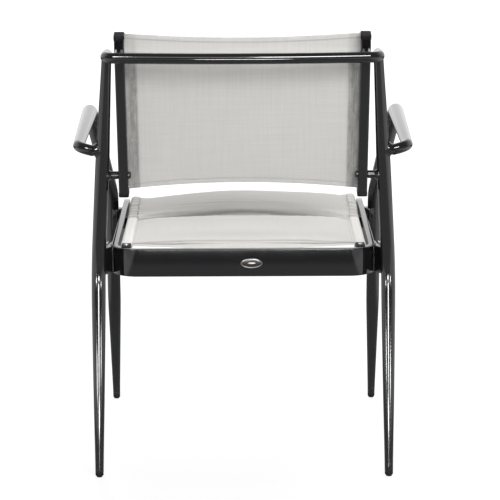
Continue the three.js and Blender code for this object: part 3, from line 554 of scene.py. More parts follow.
class Graph:
    """The nodes of one material or world."""

    def __init__(self, tree: bpy.types.NodeTree) -> None:
        """Starts with an empty tree."""
        self.tree = tree
        tree.nodes.clear()

    def node(
        self,
        kind: str,
        settings: Mapping[str, Any] | None = None,
        inputs: Mapping[int | str, Any] | None = None,
        output: int | str = 0,
    ) -> Signal:
        """Adds a node.

        Args:
            kind: The node's type, without ShaderNode.
            settings: Its properties.
            inputs: Values or signals for its sockets.
            output: The output that is wanted.

        Returns:
            The output's signal.
        """
        made = self.tree.nodes.new(f"ShaderNode{kind}")
        for name, value in (settings or {}).items():
            setattr(made, name, value)
        for name, value in (inputs or {}).items():
            if isinstance(value, Signal):
                self.tree.links.new(value.socket, made.inputs[name])
            else:
                made.inputs[name].default_value = value
        return Signal(self, made.outputs[output])

    def place(self) -> Signal:
        """The place on the object, in metres."""
        return self.node("TexCoord", output="Object")

    def split(self, vector: Signal) -> tuple[Signal, Signal, Signal]:
        """The three numbers of a vector."""
        first = self.node("SeparateXYZ", inputs={0: vector})
        outputs = first.socket.node.outputs
        return first, Signal(self, outputs[1]), Signal(self, outputs[2])

    def vector(self, x: Any, y: Any, z: Any = 0.0) -> Signal:
        """A vector of three numbers."""
        return self.node("CombineXYZ", inputs={0: x, 1: y, 2: z})

    def noise(self, vector: Signal, scale: float, detail: float = 2.0, rough: float = 0.5) -> Signal:
        """Noise from 0 to 1."""
        inputs = {"Vector": vector, "Scale": scale, "Detail": detail, "Roughness": rough}
        return self.node("TexNoise", {}, inputs)

    def stretched(
        self, across: Signal, wide: float, along: Signal, tall: float, detail: float, rough: float = 0.5
    ) -> Signal:
        """Noise over a flat cloth, with its own scale each way."""
        return self.noise(self.vector(across * wide, along * tall), 1.0, detail, rough)

    def blend(self, first: Any, second: Any, share: Any, mode: str = "MIX") -> Signal:
        """Two colours mixed."""
        settings = {"data_type": "RGBA", "blend_type": mode}
        return self.node("Mix", settings, {0: share, 6: first, 7: second}, output=2)

    def bump(self, height: Signal, depth: float, strength: float = 1.0) -> Signal:
        """Surface normals from a height."""
        inputs = {"Strength": strength, "Distance": depth, "Height": height}
        return self.node("Bump", {}, inputs)

    def node_output(self, kind: str, shader: Signal) -> None:
        """Links a shader to the output."""
        made = self.tree.nodes.new(f"ShaderNode{kind}")
        self.tree.links.new(shader.socket, made.inputs["Surface"])


RGB = tuple[float, float, float]


def new_material(name: str, shown: RGB) -> tuple[bpy.types.Material, Graph]:
    """A material and its empty graph."""
    material = bpy.data.materials.new(name)
    material.use_nodes = True
    material.diffuse_color = (*shown, 1)
    return material, Graph(material.node_tree)


def rgba(color: RGB, factor: float = 1.0) -> tuple[float, float, float, float]:
    """A colour with full alpha, made lighter or darker."""
    return (color[0] * factor, color[1] * factor, color[2] * factor, 1.0)


@dataclass(frozen=True)
class Look:
    """A material's name, its main colour and the nodes that draw it."""

    name: str
    color: RGB

    def draw(self, graph: Graph, place: Signal) -> dict[str, Any]:
        """The inputs of the material's Principled shader, at a place on the piece."""
        raise NotImplementedError

    def build(self) -> bpy.types.Material:
        """Makes the material."""
        material, graph = new_material(self.name, self.color)
        inputs = self.draw(graph, graph.place())
        shader = graph.node("BsdfPrincipled", {}, inputs)
        graph.node_output("OutputMaterial", shader)
        return material


@dataclass(frozen=True)
class GlossPaint(Look):
    """Black powder coat: a fine orange peel, dust in the film, scuffs near the floor."""

    name: str = "gloss_black_paint"
    color: RGB = (0.0078, 0.0078, 0.0088)
    scuffed: RGB = (0.05, 0.049, 0.047)
    scuff_height: float = 0.055
    rough: float = 0.07
    peel: float = 0.000012

    def draw(self, graph: Graph, place: Signal) -> dict[str, Any]:
        """The inputs of its shader."""
        _, _, height = graph.split(place)
        peel = graph.noise(place, 420.0, 2.0)
        dust = graph.noise(place, 1900.0, 1.0).rise(0.66, 0.8)
        smear = graph.noise(place, 22.0, 3.0)
        low = 1 - height.rise(0.0, self.scuff_height)
        scuff = graph.noise(place, 260.0, 4.0, 0.7).rise(0.52, 0.68) * low
        tone = graph.blend(rgba(self.color), rgba(self.scuffed), scuff * 0.8 + dust * 0.12)
        return {
            "Base Color": tone,
            "Roughness": self.rough + smear * 0.035 + scuff * 0.3 + dust * 0.05,
            "IOR": 1.5,
            "Normal": graph.bump(peel + dust * 0.5, self.peel),
        }


@dataclass(frozen=True)
class MouldedNylon(Look):
    """Black moulded nylon with a fine grain."""

    name: str = "moulded_nylon"
    color: RGB = (0.008, 0.008, 0.009)
    worn: RGB = (0.06, 0.058, 0.055)
    wear_height: float = 0.006
    rough: float = 0.55

    def draw(self, graph: Graph, place: Signal) -> dict[str, Any]:
        """The inputs of its shader."""
        _, _, height = graph.split(place)
        grain = graph.noise(place, 2400.0, 2.0)
        blush = graph.noise(place, 90.0, 3.0)
        wear = 1 - height.rise(0.0, self.wear_height)
        tone = graph.blend(rgba(self.color), rgba(self.worn), blush.rise(0.45, 0.8) * 0.25 + wear * 0.5)
        return {
            "Base Color": tone,
            "Roughness": self.rough + blush * 0.18 + wear * 0.3,
            "Specular IOR Level": 0.12,
            "Normal": graph.bump(grain, 0.00003, 0.6),
        }


@dataclass(frozen=True)
class TurnedSteel(Look):
    """Stainless steel with turning marks and a little tarnish."""

    name: str = "turned_steel"
    color: RGB = (0.5, 0.5, 0.51)
    tarnish: float = 0.55
    rough: float = 0.22

    def draw(self, graph: Graph, place: Signal) -> dict[str, Any]:
        """The inputs of its shader."""
        marks = graph.noise(place, 3200.0, 2.0)
        stain = graph.noise(place, 240.0, 4.0, 0.6)
        tone = graph.blend(rgba(self.color), rgba(self.color, self.tarnish), stain.rise(0.45, 0.75))
        return {
            "Base Color": tone,
            "Metallic": 1.0,
            "Roughness": self.rough + marks * 0.12 + stain * 0.1,
            "Normal": graph.bump(marks, 0.00001, 0.5),
        }


@dataclass(frozen=True)
class WovenTextile(Look):
    """A woven textile, its yarns over and under each other, with slubs and a slow drift of tone.

    Attributes:
        pitch: Width of a yarn and its gap.
        relief: How deep the weave is.
        gap_tone: Tone of the gaps between the yarns.
        streak: How much slubs change the tone.
        crease: How much fine creases add to the relief.
        band_from: Distance from the middle at which doubled side bands begin.
        band_to: Distance from the middle at which they end.
        band_tone: Their tone, the doubled cloth darkened by painted shade of the stiles; at 1 there are
            none.
        band_top: How far up the cloth they fade; above it the cloth is painted lighter.
        painted_shade_from: How far along the cloth a part darkened by painted shade begins.
        painted_shade_tone: Its tone under the painted shade; at 1 there is none.
    """

    pitch: float
    relief: float = 0.00018
    gap_tone: float = 0.8
    streak: float = 0.05
    slub_width: float = 0.32
    slub_count: float = 9.0
    rough: float = 0.82
    crease: float = 0.0
    band_from: float = 9.0
    band_to: float = 10.0
    band_tone: float = 1.0
    band_top: float = 9.0
    painted_shade_from: float = 9.0
    painted_shade_tone: float = 1.0

    def draw(self, graph: Graph, place: Signal) -> dict[str, Any]:
        """The inputs of its shader; its pieces carry the cloth's flat place as the attribute cloth, and
        their painted shade as the attribute shade.
        """
        flat = graph.node("Attribute", {"attribute_name": "cloth"}, output="Vector")
        across, along, _ = graph.split(flat)
        turns = math.pi / self.pitch
        warp, weft = (across * turns).sine(), (along * turns).sine()
        over = warp * weft
        yarn = (warp.size() * (over * 0.5 + 0.5)).most(weft.size() * (0.5 - over * 0.5))
        per_yarn = self.slub_width / self.pitch
        slub_warp = graph.stretched(across, per_yarn, along, self.slub_count, 2.0)
        slub_weft = graph.stretched(across, self.slub_count, along, per_yarn, 2.0)
        drift = graph.noise(place, 11.0, 3.0)
        tone = (
            1.0
            + (slub_warp - 0.5) * self.streak * 2
            + (slub_weft - 0.5) * self.streak * 2
            + (drift - 0.5) * 0.05
            - (1 - yarn) * (1 - self.gap_tone)
        )
        if self.band_tone < 1:
            tone = self._banded(graph, tone, across, along)
        # Painted shade over the cloth from a distance along it on: the seat's front roll and the sleeves'
        # gathers beside it.
        if self.painted_shade_tone < 1:
            painted_shade = along.rise(self.painted_shade_from - 0.004, self.painted_shade_from + 0.012)
            tone = tone * (1 - painted_shade * (1 - self.painted_shade_tone))
        # Painted shade: the attribute shade darkens the cloth where seams, hems, creases and folds lie in
        # shade.
        shade = graph.node("Attribute", {"attribute_name": "shade"}, output="Fac")
        tone = tone * (1 - shade * 0.6)
        fine = graph.noise(place, 160.0, 3.0)
        height = yarn + (slub_warp + slub_weft) * 0.4 + fine * self.crease
        return {
            "Base Color": graph.blend(rgba(self.color), graph.vector(tone, tone, tone), 1.0, "MULTIPLY"),
            "Roughness": self.rough + fine * 0.08,
            "Specular IOR Level": 0.3,
            "Normal": graph.bump(height, self.relief),
        }

    def _banded(self, graph: Graph, tone: Signal, across: Signal, along: Signal) -> Signal:
        """The tone with the side bands darkened by painted shade, with painted highlights of their ripples
        and along the stiles, and painted lighter above their top.
        """
        near = across.size().rise(self.band_from, self.band_from + 0.005)
        above = along.rise(self.band_top - 0.008, self.band_top + 0.004)
        wrinkle_shade = graph.stretched(across, 520.0, along, 13.0, 3.0, 0.6).rise(0.3, 0.7)
        mottle = graph.stretched(across, 130.0, along, 30.0, 3.0, 0.6).rise(0.32, 0.68)
        ripples = graph.stretched(across, 300.0, along, 150.0, 2.0, 0.6).rise(0.6, 0.72)
        stile_edge_highlight = across.size().rise(self.band_to - 0.01, self.band_to)
        # Painted shade of the stiles on the doubled bands, mottled, less painted highlights of their ripples
        # and along the stile's edge.
        painted_shade = 0.5 + wrinkle_shade * 0.3 + mottle * 0.35 - ripples * 0.4 - stile_edge_highlight * 0.25
        # Painted light: the cloth above the top rail is lighter, and the bands' painted shade fades there.
        return tone * (1 - near * (1 - self.band_tone) * (1 - above * 0.75) * painted_shade) * (1 + above * 0.2)


@dataclass(frozen=True)
class Thread(Look):
    """Sewing thread, twisted."""

    def draw(self, graph: Graph, place: Signal) -> dict[str, Any]:
        """The inputs of its shader."""
        x, y, z = graph.split(place)
        twist = ((x + y + z) * 9000.0).sine() * 0.5 + 0.5
        tone = graph.blend(rgba(self.color, 0.82), rgba(self.color), twist)
        return {"Base Color": tone, "Roughness": 0.6 + twist * 0.1, "Normal": graph.bump(twist, 0.00005)}


@dataclass(frozen=True)
class Plate(Look):
    """A polished plate, brushed one way."""

    rough: float
    metal: float = 1.0

    def draw(self, graph: Graph, place: Signal) -> dict[str, Any]:
        """The inputs of its shader."""
        x, y, z = graph.split(place)
        brush = graph.noise(graph.vector(x * 120.0, z * 5200.0, y * 120.0), 1.0, 3.0)
        spots = graph.noise(place, 900.0, 3.0).rise(0.6, 0.8)
        tone = graph.blend(rgba(self.color), rgba(self.color, 0.6), spots * 0.6)
        return {
            "Base Color": tone,
            "Metallic": self.metal,
            "Roughness": self.rough + brush * 0.12,
            "Normal": graph.bump(brush, 0.00001, 0.6),
        }


@dataclass(frozen=True)
class Finish:
    """A material, and the record's slot for what wears it."""

    material: bpy.types.Material
    slot: Slot


class Finishes:
    """All finishes of the chair, their materials made once."""

    def __init__(self) -> None:
        """Makes the materials."""
        self.paint = Finish(GlossPaint().build(), Slot.PAINT)
        self.nylon = Finish(MouldedNylon().build(), Slot.NYLON)
        self.steel = Finish(TurnedSteel().build(), Slot.STEEL)
        # The back's side bands are darkened by painted shade with painted highlights, and the cloth above
        # the top rail is painted lighter.
        mesh = WovenTextile(
            "back_mesh",
            (0.60, 0.592, 0.57),
            pitch=0.0012,
            streak=0.06,
            band_from=0.184,
            band_to=0.207,
            band_tone=0.45,
            band_top=0.231,
        )
        soft = {"pitch": 0.0009, "crease": 0.8}
        # The seat's front roll and the sleeves' gathers beside it are darkened by painted shade.
        seat = WovenTextile(
            "seat_cloth", (0.70, 0.685, 0.66), streak=0.035, painted_shade_from=0.288, painted_shade_tone=0.84, **soft
        )
        sleeve = WovenTextile(
            "sleeve_cloth", (0.83, 0.82, 0.79), streak=0.03, painted_shade_from=0.234, painted_shade_tone=0.72, **soft
        )
        self.back = Finish(mesh.build(), Slot.BACK)
        self.seat = Finish(seat.build(), Slot.SEAT)
        self.sleeve = Finish(sleeve.build(), Slot.SEAT)
        thread = Thread("pale_thread", (0.55, 0.54, 0.52)).build()
        self.back_thread, self.seat_thread = Finish(thread, Slot.BACK), Finish(thread, Slot.SEAT)
        self.rod = Finish(Thread("spline_plastic", (0.6, 0.59, 0.56)).build(), Slot.ROD)
        self.badge_rim = Finish(Plate("badge_rim_metal", (0.4, 0.36, 0.33), 0.24).build(), Slot.BADGE)
        enamel = Plate("badge_enamel", (0.012, 0.012, 0.013), 0.16, metal=0.0)
        self.badge_field = Finish(enamel.build(), Slot.PAINT)


# Sub-assemblies


@dataclass
class Assembly:
    """A sub-assembly of the chair."""

    finishes: Finishes
    made: list[bpy.types.Object] = field(default_factory=list)

    def keep(
        self,
        piece: bpy.types.Object,
        finish: Finish,
        nodes: Iterable[str] = (),
        parent: bpy.types.Object | None = None,
    ) -> bpy.types.Object:
        """Dresses a new piece and fixes it to the chair.

        Args:
            piece: The new object.
            finish: Its finish.
            nodes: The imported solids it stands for.
            parent: The piece that it is sewn or fixed to.

        Returns:
            The piece.
        """
        piece.data.materials.append(finish.material)
        names = list(nodes)
        if names:
            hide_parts(*names)
        if parent is None:
            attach(piece, "root")
        else:
            piece.parent = parent
        self.made.append(piece)
        return piece

    def pair(self, shape: Shape, name: str, finish: Finish, node: str = "", sharp: float = 38.0) -> None:
        """Makes a piece on both sides of the chair.

        Args:
            shape: The left piece.
            name: The name without its side.
            finish: Its finish.
            node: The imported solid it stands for, without its side.
            sharp: The sharp angle of its shading.
        """
        for side, body in zip(SIDES, (shape, shape.mirrored())):
            nodes = [f"{node}_{side}"] if node else []
            self.keep(body.piece(f"{name}_{side}", sharp), finish, nodes)

    @staticmethod
    def repaint(node: str, finish: Finish) -> None:
        """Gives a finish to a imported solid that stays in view, on both sides."""
        for side in SIDES:
            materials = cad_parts[f"{node}_{side}"].data.materials
            materials.clear()
            materials.append(finish.material)

    def report(self) -> None:
        """Logs the pieces that were made."""
        for piece in self.made:
            log.info("%s: %s, %d points", type(self).__name__, piece.name, len(piece.data.vertices))


def solid_box(node: str) -> tuple[np.ndarray, np.ndarray]:
    """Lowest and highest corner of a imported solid, in the drawing."""
    low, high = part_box(node)
    return np.array(low) / MM - DATUM, np.array(high) / MM - DATUM


def solid_middle(node: str) -> np.ndarray:
    """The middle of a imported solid's box, in the drawing."""
    low, high = solid_box(node)
    return (low + high) / 2


def rim_reach(radius: float, offset: np.ndarray) -> np.ndarray:
    """How far a circle reaches from its diameter, at offsets along it from the middle."""
    return np.sqrt(np.maximum(0, radius**2 - offset**2))


@dataclass
class TubeFrame(Assembly):
    """The welded frame: uprights, legs with their armrests, top rail, seat hoop and stretcher."""

    knee: np.ndarray = field(default_factory=lambda: point(266.5, 148.0, 388.0))
    knee_bend: float = 240.0
    foot: np.ndarray = field(default_factory=lambda: point(268.0, 213.0, 0.0))
    upright_radius: float = 13.0
    upright_foot_radius: float = 7.5
    swelling: Pairs = ((0.353, 0.5), (0.64, 0.82), (0.833, 1.0))  # share of the way, share of the growth
    narrowing: Pairs = ((0.0, 0.96), (0.11, 0.76), (1.0, 0.0))  # share of the taper, and of the width kept
    top_x: float = 237.5
    top_radius: float = 8.4
    taper: float = 190.0
    rail_height: float = 788.6
    rail_radius: float = 9.5
    rail_set_back: float = 42.0
    rail_bow: float = 16.0
    rail_elbow: float = 22.0
    leg_radius: float = 13.15
    leg_foot_radius: float = 7.1
    leg_full: float = 210 / 440
    leg_foot: np.ndarray = field(default_factory=lambda: point(265.5, -273.0, 0.0))
    hip: np.ndarray = field(default_factory=lambda: point(267.0, -265.0, 440.0))
    hip_bend: float = 150.0
    arm_corner: np.ndarray = field(default_factory=lambda: point(306.0, -250.0, 612.0))
    arm_front_radius: float = 15.0
    arm_front_bend: float = 38.0
    arm_rear_height: float = 617.0
    arm_reach: float = 45.0
    arm_rear_radius: float = 10.0
    arm_rear_bend: float = 25.0
    arm_end_drop: float = 5.5
    arm_end_radius: float = 9.6
    arm_end_straight: float = 9.0
    arm_flare: float = 2.4
    glide_height: float = 7.3
    hoop_x: float = 238.5
    hoop_front: float = -305.0
    hoop_rear: float = 146.8
    hoop_middle: float = 391.6
    hoop_height: float = 52.0
    hoop_thick: float = 12.0
    hoop_edge: float = 1.7
    hoop_bend: float = 44.0
    gusset_gap: float = 9.0
    gusset_weld: float = 212.0
    stretcher_radius: float = 11.0

    def __post_init__(self) -> None:
        """Draws the centre lines that the pieces share."""
        rise = (self.rail_height - self.knee[2]) * math.tan(LEAN)
        self.top = point(self.top_x, self.knee[1] + rise, self.rail_height)
        self.upright = self._upright_line()
        self.rail_end_y = self.top[1] + self.rail_set_back

    def _upright_line(self) -> Line:
        """Centre line of the left upright, from its glide to the top rail."""
        start = 1 - self.taper / float(np.linalg.norm(self.top - self.knee))
        direction = unit(self.knee - self.foot)
        corners = [Corner(self.foot + direction * self.glide_height, self.upright_foot_radius)]
        for height, growth in self.swelling:
            radius = lerp(self.upright_foot_radius, self.upright_radius, growth)
            corners.append(Corner(lerp(self.foot, self.knee, height), radius))
        corners.append(Corner(self.knee, self.upright_radius, self.knee_bend))
        for way, growth in self.narrowing:
            radius = lerp(self.top_radius, self.upright_radius, growth)
            corners.append(Corner(lerp(self.knee, self.top, lerp(start, 1, way)), radius))
        return Line.through(corners, step=1.2, spacing=12, ease=22)

    def _leg_line(self) -> Line:
        """Centre line of the left front leg and armrest."""
        elbow_centre, _ = self.upright.at_height(self.arm_rear_height)
        end, end_radius = self.upright.at_height(self.arm_rear_height - self.arm_end_drop)
        elbow = elbow_centre + point(self.arm_reach, 0, 0)
        direction = unit(self.hip - self.leg_foot)
        flare = end + point(end_radius + self.arm_end_straight, 0, 0)
        line = Line.through(
            [
                Corner(self.leg_foot + direction * self.glide_height, self.leg_foot_radius),
                Corner(lerp(self.leg_foot, self.hip, self.leg_full), self.leg_radius),
                Corner(self.hip, self.leg_radius, self.hip_bend),
                Corner(self.arm_corner, self.arm_front_radius, self.arm_front_bend),
                Corner(elbow, self.arm_rear_radius, self.arm_rear_bend),
                Corner(flare, self.arm_end_radius),
                Corner(end, self.arm_end_radius),
            ],
            step=3,
            spacing=10,
            ease=14,
        )
        line.radius = line.radius + self.arm_flare * smooth(line.way - line.way[-1], -26, -10)
        return line

    def _rail_line(self) -> Line:
        """Centre line of the top rail."""
        half = self.top_x
        left = [
            Corner(point(half, self.top[1] - self.rail_radius, self.rail_height), self.rail_radius),
            Corner(point(half, self.rail_end_y, self.rail_height), self.rail_radius, self.rail_elbow),
        ]
        for share in (0.8, 0.65, 0.5, 0.35, 0.2, 0.1, 0.0):
            y = self.rail_end_y + self.rail_bow * (1 - share * share)
            left.append(Corner(point(half * share, y, self.rail_height), self.rail_radius))
        right = [Corner(corner.at * (-1, 1, 1), corner.radius, corner.bend) for corner in left[-2::-1]]
        return Line.through(left + right, step=5)

    def _hoop(self) -> Shape:
        """The bent flat bar round the seat."""
        corners = [
            Corner(point(self.hoop_x, self.hoop_front, self.hoop_middle)),
            Corner(point(self.hoop_x, self.hoop_rear, self.hoop_middle), bend=self.hoop_bend),
        ]
        corners += [Corner(corner.at * (-1, 1, 1), bend=corner.bend) for corner in corners[::-1]]
        profile = bar_profile(self.hoop_height, self.hoop_thick, self.hoop_edge)
        return sweep(Line.through(corners, step=5, spacing=25), profile, ALONG_Z, rounding=1.6)

    def _hoop_corner(self, proud: float) -> np.ndarray:
        """Plan of the left hoop corner from side to rear, at a distance off its outer face."""
        reach = self.hoop_bend + self.hoop_thick / 2 + proud
        middle = (self.hoop_x - self.hoop_bend, self.hoop_rear - self.hoop_bend)
        angle = np.radians(np.linspace(0, 20, 6))
        return np.stack((middle[0] + reach * np.cos(angle), middle[1] + reach * np.sin(angle)), axis=1)

    def _brackets(self) -> tuple[Shape, Shape]:
        """Left rear gusset and left front bracket between hoop and leg."""
        low, high = solid_box("rear_seat_bracket_left")
        half = self.upright_radius / 2
        corner = self._hoop_corner(0.3)
        outline = [(corner[0, 0], low[1]), (self.hoop_x + self.hoop_thick / 2 + self.gusset_gap, low[1])]
        outline += [(self.knee[0], self.knee[1] - half), (self.knee[0] - half, self.knee[1])]
        outline += [tuple(place) for place in corner[::-1]]
        rear = plate(np.array(outline), low[2], high[2], 1.2)
        low, high = solid_box("front_seat_bracket_left")
        return rear, rounded_box(low, high, 1.6)

    def _on_upright(self, z: float, angle: float, proud: float) -> np.ndarray:
        """A point on the left upright at a height and at degrees round it from +x."""
        centre, radius = self.upright.at_height(z)
        turn, reach = math.radians(angle), radius + proud
        return point(centre[0] + reach * math.cos(turn), centre[1] + reach * math.sin(turn), z)

    def _arm_weld(self, angle: np.ndarray) -> Shape:
        """The bead where the left armrest meets its upright."""
        end, radius = self.upright.at_height(self.arm_rear_height - self.arm_end_drop)
        reach = self.arm_end_radius + 1.9
        across, high = reach * np.cos(angle), reach * np.sin(angle)
        ring = np.stack((rim_reach(radius, across) + 0.3, across, high), axis=1)
        return weld(end + ring, 1.5, looped=True)

    def _crown_weld(self, angle: np.ndarray) -> Shape:
        """The bead where the left upright meets the top rail."""
        direction = unit(self.top - self.knee)
        side = unit(np.cross(direction, point(0, 1, 0)))
        reach = self.top_radius + 0.6
        under = rim_reach(self.rail_radius, reach * np.cos(angle))
        ring = ring_points(reach, angle, side, np.cross(direction, side))
        return weld(self.top + ring - np.outer(under, direction), 1.2, looped=True)

    def _rear_bracket_welds(self) -> Shape:
        """Beads of the left rear gusset on hoop and upright."""
        low, high = solid_box("rear_seat_bracket_left")
        heights = np.linspace(low[2] + 1, high[2] - 1, 30)
        corner = self._hoop_corner(0.6)
        round_tube = range(205, 262, 5)
        return (
            weld(np.array([(*corner[-1], z) for z in heights]), 1.7)
            + weld(np.array([self._on_upright(z, self.gusset_weld, 0.2) for z in heights]), 1.8)
            + weld(np.array([(*place, high[2] + 0.1) for place in corner]), 1.4)
            + weld(np.array([self._on_upright(high[2], angle, 0.3) for angle in round_tube]), 1.7)
        )

    def _front_bracket_welds(self) -> Shape:
        """Beads of the left front bracket: four upright ones, and a short one on its top."""
        low, high = solid_box("front_seat_bracket_left")
        outer = self.hoop_x + self.hoop_thick / 2
        heights = np.linspace(low[2] + 1, high[2] - 1, 26)
        beads = weld(np.array([(outer + 1, high[1] - 3, high[2]), (outer + 8, high[1] - 1, high[2])]), 1.5)
        for y in (low[1], high[1]):
            for x in (outer + 0.8, self.hip[0] - self.leg_radius + 3.2):
                beads += weld(np.array([(x, y, z) for z in heights]), 1.5)
        return beads

    def _stretcher_weld(self, angle: np.ndarray) -> Shape:
        """The bead where the stretcher meets the hoop on the left."""
        low, high = solid_box("seat_stretcher")
        reach = (high[2] - low[2]) / 2 + 0.4
        middle = point(high[0] - 0.8, *((low + high) / 2)[1:])
        return weld(middle + ring_points(reach, angle, point(0, 1, 0), ALONG_Z), 1.6, looped=True)

    def _welds(self) -> Shape:
        """Weld beads of the left side."""
        angle = angles_round(48)
        rings = self._arm_weld(angle) + self._crown_weld(angle) + self._stretcher_weld(angle)
        return rings + self._rear_bracket_welds() + self._front_bracket_welds()

    def build(self) -> None:
        """Makes the frame's pieces."""
        paint = self.finishes.paint
        tube = round_profile(44)
        upright = sweep(self.upright, tube, rounding=0.8)
        self.pair(upright, "upright_tube", paint, "rear_upright")
        leg = sweep(self._leg_line(), tube, rounding=0.8)
        self.pair(leg, "leg_and_arm_tube", paint, "front_leg_arm")
        rail = sweep(self._rail_line(), tube, ALONG_Z, rounding=1.6)
        self.keep(rail.piece("top_rail_tube"), paint, ["top_rail"])
        self.keep(self._hoop().piece("seat_hoop_bar"), paint, ["seat_hoop"])
        low, high = solid_box("seat_stretcher")
        outline = [(distance, self.stretcher_radius) for distance in (0, high[0] - low[0])]
        stretcher = lathe(point(low[0], *((low + high) / 2)[1:]), ALONG_X, outline)
        self.keep(stretcher.piece("stretcher_tube"), paint, ["seat_stretcher"])
        rear, front = self._brackets()
        self.pair(rear, "rear_bracket", paint, "rear_seat_bracket")
        self.pair(front, "front_bracket", paint, "front_seat_bracket")
        self.pair(self._welds(), "weld_beads", paint, sharp=60)
        self._glides("rear", self.foot, self.knee, self.upright_foot_radius)
        self._glides("front", self.leg_foot, self.hip, self.leg_foot_radius)
        self.repaint("seat_rail", paint)
        self.repaint("rear_block_lug", paint)

    def _glides(self, end: str, foot: np.ndarray, above: np.ndarray, radius: float) -> None:
        """Makes two foot glides, cut level with the floor.

        Args:
            end: The chair's end, front or rear.
            foot: Where the left tube's centre line meets the floor.
            above: A point further up that line.
            radius: The tube's radius at its foot.
        """
        top, rim = self.glide_height, radius + 0.15
        outline = [(-3, 3.6), (-2.4, 4.6), (-1.2, 5.2), (0.6, 5.25), (2.4, radius - 0.6), (3.4, rim)]
        outline += [(top - 0.4, rim), (top + 0.2, radius - 0.3)]
        body = lathe(foot, above - foot, outline)
        body.points[:, 2] = np.maximum(body.points[:, 2], 0.0)
        self.pair(body, f"{end}_glide", self.finishes.nylon, f"{end}_foot_glide")


@dataclass
class BackPlane:
    """The stiles' leaning plane: x across, n rearwards from their centre, t up from the lower bolt."""

    stile_width: float = 17.5
    depth: float = 25.0
    channel_n: float = -5.5
    channel_radius: float = 3.9
    wall: float = 2.0
    bolt_height: float = 564.0
    rail_height: float = 788.6
    foot_below_bolt: float = 39.0
    head_above_rail: float = 36.4
    rail_end_y: float = 286.17
    rail_bow: float = 16.0
    rail_half: float = 237.5

    def __post_init__(self) -> None:
        """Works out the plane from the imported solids."""
        self.up = point(0, math.sin(LEAN), math.cos(LEAN))
        self.rear = point(0, math.cos(LEAN), -math.sin(LEAN))
        bolt = point(0, *solid_middle("lower_spacer_left")[1:])
        front = self.channel_n + self.channel_radius + self.wall
        chamber = (front + self.depth / 2 - self.wall) / 2
        self.origin = bolt - chamber * self.rear
        low, high = solid_box("back_stile_left")
        self.stile_in, self.stile_x = low[0], (low[0] + high[0]) / 2
        self.foot_t = self.t_at(self.bolt_height - self.foot_below_bolt)
        self.head_t = self.t_at(self.rail_height + self.head_above_rail)
        bow = self.rail_end_y + self.rail_bow * (1 - (self.stile_x / self.rail_half) ** 2)
        behind = point(self.stile_x, bow, self.rail_height) - self.origin
        self.standoff_t, self.standoff_n = float(behind @ self.up), float(behind @ self.rear)

    def t_at(self, height: float) -> float:
        """How far up the plane a height is."""
        return (height - self.origin[2]) / self.up[2]

    def at(self, x: Any, n: Any, t: Any) -> np.ndarray:
        """Points of the plane, one or an array of them."""
        x, n, t = np.broadcast_arrays(x, n, t)
        made = self.origin + n[..., None] * self.rear + t[..., None] * self.up
        made[..., 0] = x
        return made


